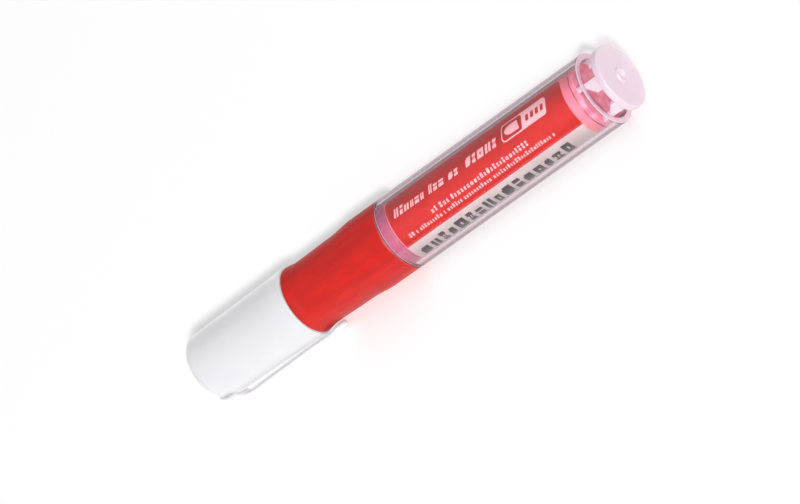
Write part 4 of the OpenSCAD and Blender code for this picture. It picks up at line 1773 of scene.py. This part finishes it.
@dataclass
class Tail:
    """The cartridge's end plug and the pull disc that stands on it."""

    plug_wall: float = 1.0
    flange_t: float = 1.2
    spigot_in: float = 0.85
    disc_t: float = 1.8
    boss_h: float = 0.5
    boss_r: float = 2.0
    dimple_r: float = 1.15
    leg_mirror: float = 62.0
    leg_halves: tuple[float, ...] = (-28.5, 28.5, 151.5, 208.5)
    leg_w: float = 3.6
    leg_t: float = 1.3
    post_w: float = 1.3
    leg_short: float = 2.1

    def build(self) -> None:
        """Makes the end plug, and the disc with its legs."""
        start, floor = PEN.span("cartridge_end_plug")
        flange = floor - self.flange_t
        flange_r = PEN.radius("cartridge_end_plug")
        seat_r = PEN.radius("cartridge_body")
        seat = PEN.span("cartridge_body")[1]
        spigot_r = seat_r - self.spigot_in
        hollow_r = spigot_r - self.plug_wall
        plug = turned(rounded([
            Corner(start, hollow_r, 0.2), Corner(start, spigot_r, 0.4), Corner(seat, spigot_r),
            Corner(seat, seat_r, 0.15), Corner(flange, seat_r, 0.2), Corner(flange, flange_r, 0.15),
            Corner(floor, flange_r, 0.25), Corner(floor, 0), Corner(flange, 0),
            Corner(flange - 0.6, hollow_r, 0.8),
        ]))
        Piece("end_plug_moulded", "end_plug", "tail_plastic", PLUG_PINK,
              ("cartridge_end_plug",)).show(plug)
        Piece("tail_disc_moulded", "end_plug", "tail_plastic", TAIL_MILK, ("tail_disc",)).show(
            joined([self.disc(), *self.legs(floor, flange_r)]))

    def disc(self) -> bmesh.types.BMesh:
        """The disc with a small boss and its dimple.

        Returns:
            A closed shell.
        """
        top_of_all = PEN.span("tail_disc")[1]
        top = top_of_all - self.boss_h
        low = top - self.disc_t
        disc_r = PEN.radius("tail_disc")
        return turned(rounded([
            Corner(low, 0), Corner(low, disc_r, 0.25), Corner(top, disc_r, 0.45),
            Corner(top, self.boss_r + 0.1, 0.25), Corner(top_of_all, self.boss_r - 0.15, 0.2),
            Corner(top_of_all, self.dimple_r + 0.15, 0.15), Corner(top - 0.4, self.dimple_r, 0.3),
            Corner(top - 0.4, 0),
        ], closed=False))

    def legs(self, floor: float, outer: float) -> list[bmesh.types.BMesh]:
        """Four legs in two mirrored pairs, each with a post and a slanted foot.

        Args:
            floor: Station of the end plug's face, in mm.
            outer: Radius of the legs' outside, in mm.

        Returns:
            A closed shell for each leg.
        """
        rim = PEN.span("barrel_tube")[1]
        top = PEN.span("tail_disc")[1] - self.boss_h - self.disc_t + 0.1
        side, inner = self.leg_w / 2, self.leg_w / 2 - self.post_w
        made = []
        for i, half in enumerate(self.leg_halves):
            hand = -1 if i % 2 == 0 else 1
            middle = math.radians(self.leg_mirror + half) * outer
            outline = [Corner(floor - 0.02, side), Corner(top, side), Corner(top, -side),
                       Corner(rim + self.leg_short, -side, 0.15), Corner(rim, inner, 0.3),
                       Corner(floor - 0.02, inner)]
            points = [(a, middle + hand * w) for a, w in rounded(outline, steps=3)]
            made.append(wrapped_plate(points, outer - self.leg_t, outer, edge=0.12, pitch=0.4))
        return made


# ---------------------------------------------------------------- studio

@dataclass
class Studio:
    """Pale floor, soft light and the camera.

    Attributes:
        face_angle: The side of the pen that faces the camera, in degrees around its axis.
        tilt: Lean of the pen's cap away from the camera, in degrees.
        slant: Turn of the pen in the picture, in degrees.
        distance: How far away the camera stands, in m.
        lens: Its focal length, in mm.
        middle: Station it looks at, in mm.
        shift_right: How far it looks to the right of that, in mm.
        shift_up: How far it looks above that, in mm.
        floor_size: Side of the floor, in m.
        floor_white: Its colour, a grey.
        floor_glow: Light it gives by itself.
        key_angle: Height of the key lamp, in degrees from straight up towards -Y.
        key_side: How far it stands towards the tail, against its height over the pen.
        key_distance: How far away it stands, in m.
        key_size: Its diameter, in m.
        key_power: Its power, in W.
        fill_toward: Direction of the fill lamp.
        fill_distance: How far away it stands, in m.
        fill_size: Its diameter, in m.
        fill_power: Its power, in W.
        room: Light of the room from below and from above.
    """

    face_angle: float = 45.5
    tilt: float = 28.7
    slant: float = 35.42
    distance: float = 2.5
    lens: float = 479.0
    middle: float = 68.45
    shift_right: float = -2.674
    shift_up: float = -6.38
    floor_size: float = 6.0
    floor_white: float = 0.74
    floor_glow: float = 0.30
    key_angle: float = 49.6
    key_side: float = 0.45
    key_distance: float = 4.5
    key_size: float = 0.36
    key_power: float = 165.0
    fill_toward: Direction = (0.1, -0.96, 0.28)
    fill_distance: float = 2.5
    fill_size: float = 1.4
    fill_power: float = 0.8
    room: Point = (0.24, 0.5)

    def directions(self) -> tuple[Vector, Vector, Vector]:
        """The camera's directions.

        Returns:
            Its backward, right and up directions.
        """
        tilt, slant, face = (math.radians(v) for v in (self.tilt, self.slant, self.face_angle))
        along = Vector((1.0, 0.0, 0.0))
        facing = Vector((0.0, -math.sin(face), math.cos(face)))
        lower = Vector((0.0, -math.cos(face), -math.sin(face)))
        toward = along * math.sin(tilt) + facing * math.cos(tilt)
        across = along * math.cos(tilt) - facing * math.sin(tilt)
        right = across * math.cos(slant) + lower * math.sin(slant)
        up = across * math.sin(slant) - lower * math.cos(slant)
        return toward, right, up

    def build(self) -> None:
        """Makes the floor, the lamps and the camera."""
        self.build_floor()
        self.build_lamps()
        self.build_camera()
        view = bpy.context.scene.view_settings
        view.view_transform = "Standard"
        view.look = "None"

    def build_floor(self) -> None:
        """A plain pale sheet under the pen."""
        sheet = bmesh.new()
        bmesh.ops.create_grid(sheet, x_segments=8, y_segments=8, size=self.floor_size / 2)
        data = bpy.data.meshes.new("floor")
        sheet.to_mesh(data)
        sheet.free()
        surface = bpy.data.materials.new("floor_paper")
        surface.use_nodes = True
        surface.node_tree.nodes.clear()
        nodes = Nodes(surface.node_tree)
        place = place_in_mm(nodes)
        tooth = nodes.add("ShaderNodeTexNoise", {"Vector": place, "Scale": 2.0, "Detail": 4.0})
        bump = nodes.add("ShaderNodeBump", {"Height": tooth.outputs[0], "Distance": 0.01 * MM})
        shader = nodes.add("ShaderNodeBsdfPrincipled", {
            "Base Color": (*[self.floor_white] * 3, 1.0), "Roughness": 0.8, "Specular IOR Level": 0.1,
            "Normal": bump.outputs[0], "Emission Color": (1.0, 1.0, 1.0, 1.0),
            "Emission Strength": self.floor_glow})
        nodes.add("ShaderNodeOutputMaterial", {"Surface": shader.outputs[0]})
        data.materials.append(surface)
        floor = bpy.data.objects.new("floor", data)
        bpy.context.scene.collection.objects.link(floor)

    def lamp(self, name: str, toward: Vector, distance: float, size: float, power: float,
             colour: Rgb = (1.0, 1.0, 1.0)) -> None:
        """Adds a round area lamp that looks at the pen.

        Args:
            name: The lamp's name.
            toward: Where it stands, as a direction from the pen.
            distance: How far away it stands, in m.
            size: Its diameter, in m.
            power: Its power, in W.
            colour: Its colour.
        """
        data = bpy.data.lights.new(name, "AREA")
        data.shape = "DISK"
        data.size = size
        data.energy = power
        data.color = colour
        made = bpy.data.objects.new(name, data)
        aim = PEN.at(self.middle, 0, 0)
        made.location = aim + toward.normalized() * distance
        made.rotation_euler = toward.to_track_quat("Z", "Y").to_euler()
        bpy.context.scene.collection.objects.link(made)

    def build_lamps(self) -> None:
        """A key from the tail side of the camera, a low fill in front, and a pale room."""
        key = math.radians(self.key_angle)
        self.lamp("key", Vector((self.key_side, -math.sin(key), math.cos(key))), self.key_distance,
                  self.key_size, self.key_power)
        self.lamp("fill", Vector(self.fill_toward), self.fill_distance, self.fill_size,
                  self.fill_power)
        world = bpy.data.worlds.new("room")
        world.use_nodes = True
        world.node_tree.nodes.clear()
        nodes = Nodes(world.node_tree)
        around = nodes.add("ShaderNodeTexCoord").outputs["Generated"]
        look = nodes.add("ShaderNodeSeparateXYZ", {0: around})
        light = nodes.ramp(look.outputs["Z"], 0.0, 0.5, *self.room)
        back = nodes.add("ShaderNodeBackground", {"Strength": light})
        back.inputs["Color"].default_value = (1.0, 1.0, 1.0, 1.0)
        nodes.add("ShaderNodeOutputWorld", {"Surface": back.outputs[0]})
        bpy.context.scene.world = world

    def build_camera(self) -> None:
        """A long lens at the pen's slant."""
        toward, right, up = self.directions()
        aim = PEN.at(self.middle, 0, 0) + right * self.shift_right * MM + up * self.shift_up * MM
        data = bpy.data.cameras.new("camera")
        data.lens = self.lens
        data.sensor_width = 36.0
        data.clip_start = 0.05
        data.clip_end = 50.0
        made = bpy.data.objects.new("camera", data)
        turn = Matrix((right, up, toward)).transposed()
        made.matrix_world = Matrix.Translation(aim + toward * self.distance) @ turn.to_4x4()
        bpy.context.scene.collection.objects.link(made)
        bpy.context.scene.camera = made


def main() -> None:
    """Builds the marker from cap to tail, then the studio."""
    logging.basicConfig(level=logging.INFO, format="%(name)s: %(message)s", stream=sys.stdout)
    for assembly in (Cap(), WritingEnd(), Grip(), Feed(), Barrel(), Refill(), Tail(), Studio()):
        log.info("building %s", type(assembly).__name__)
        assembly.build()


if __name__ == "__main__":
    main()
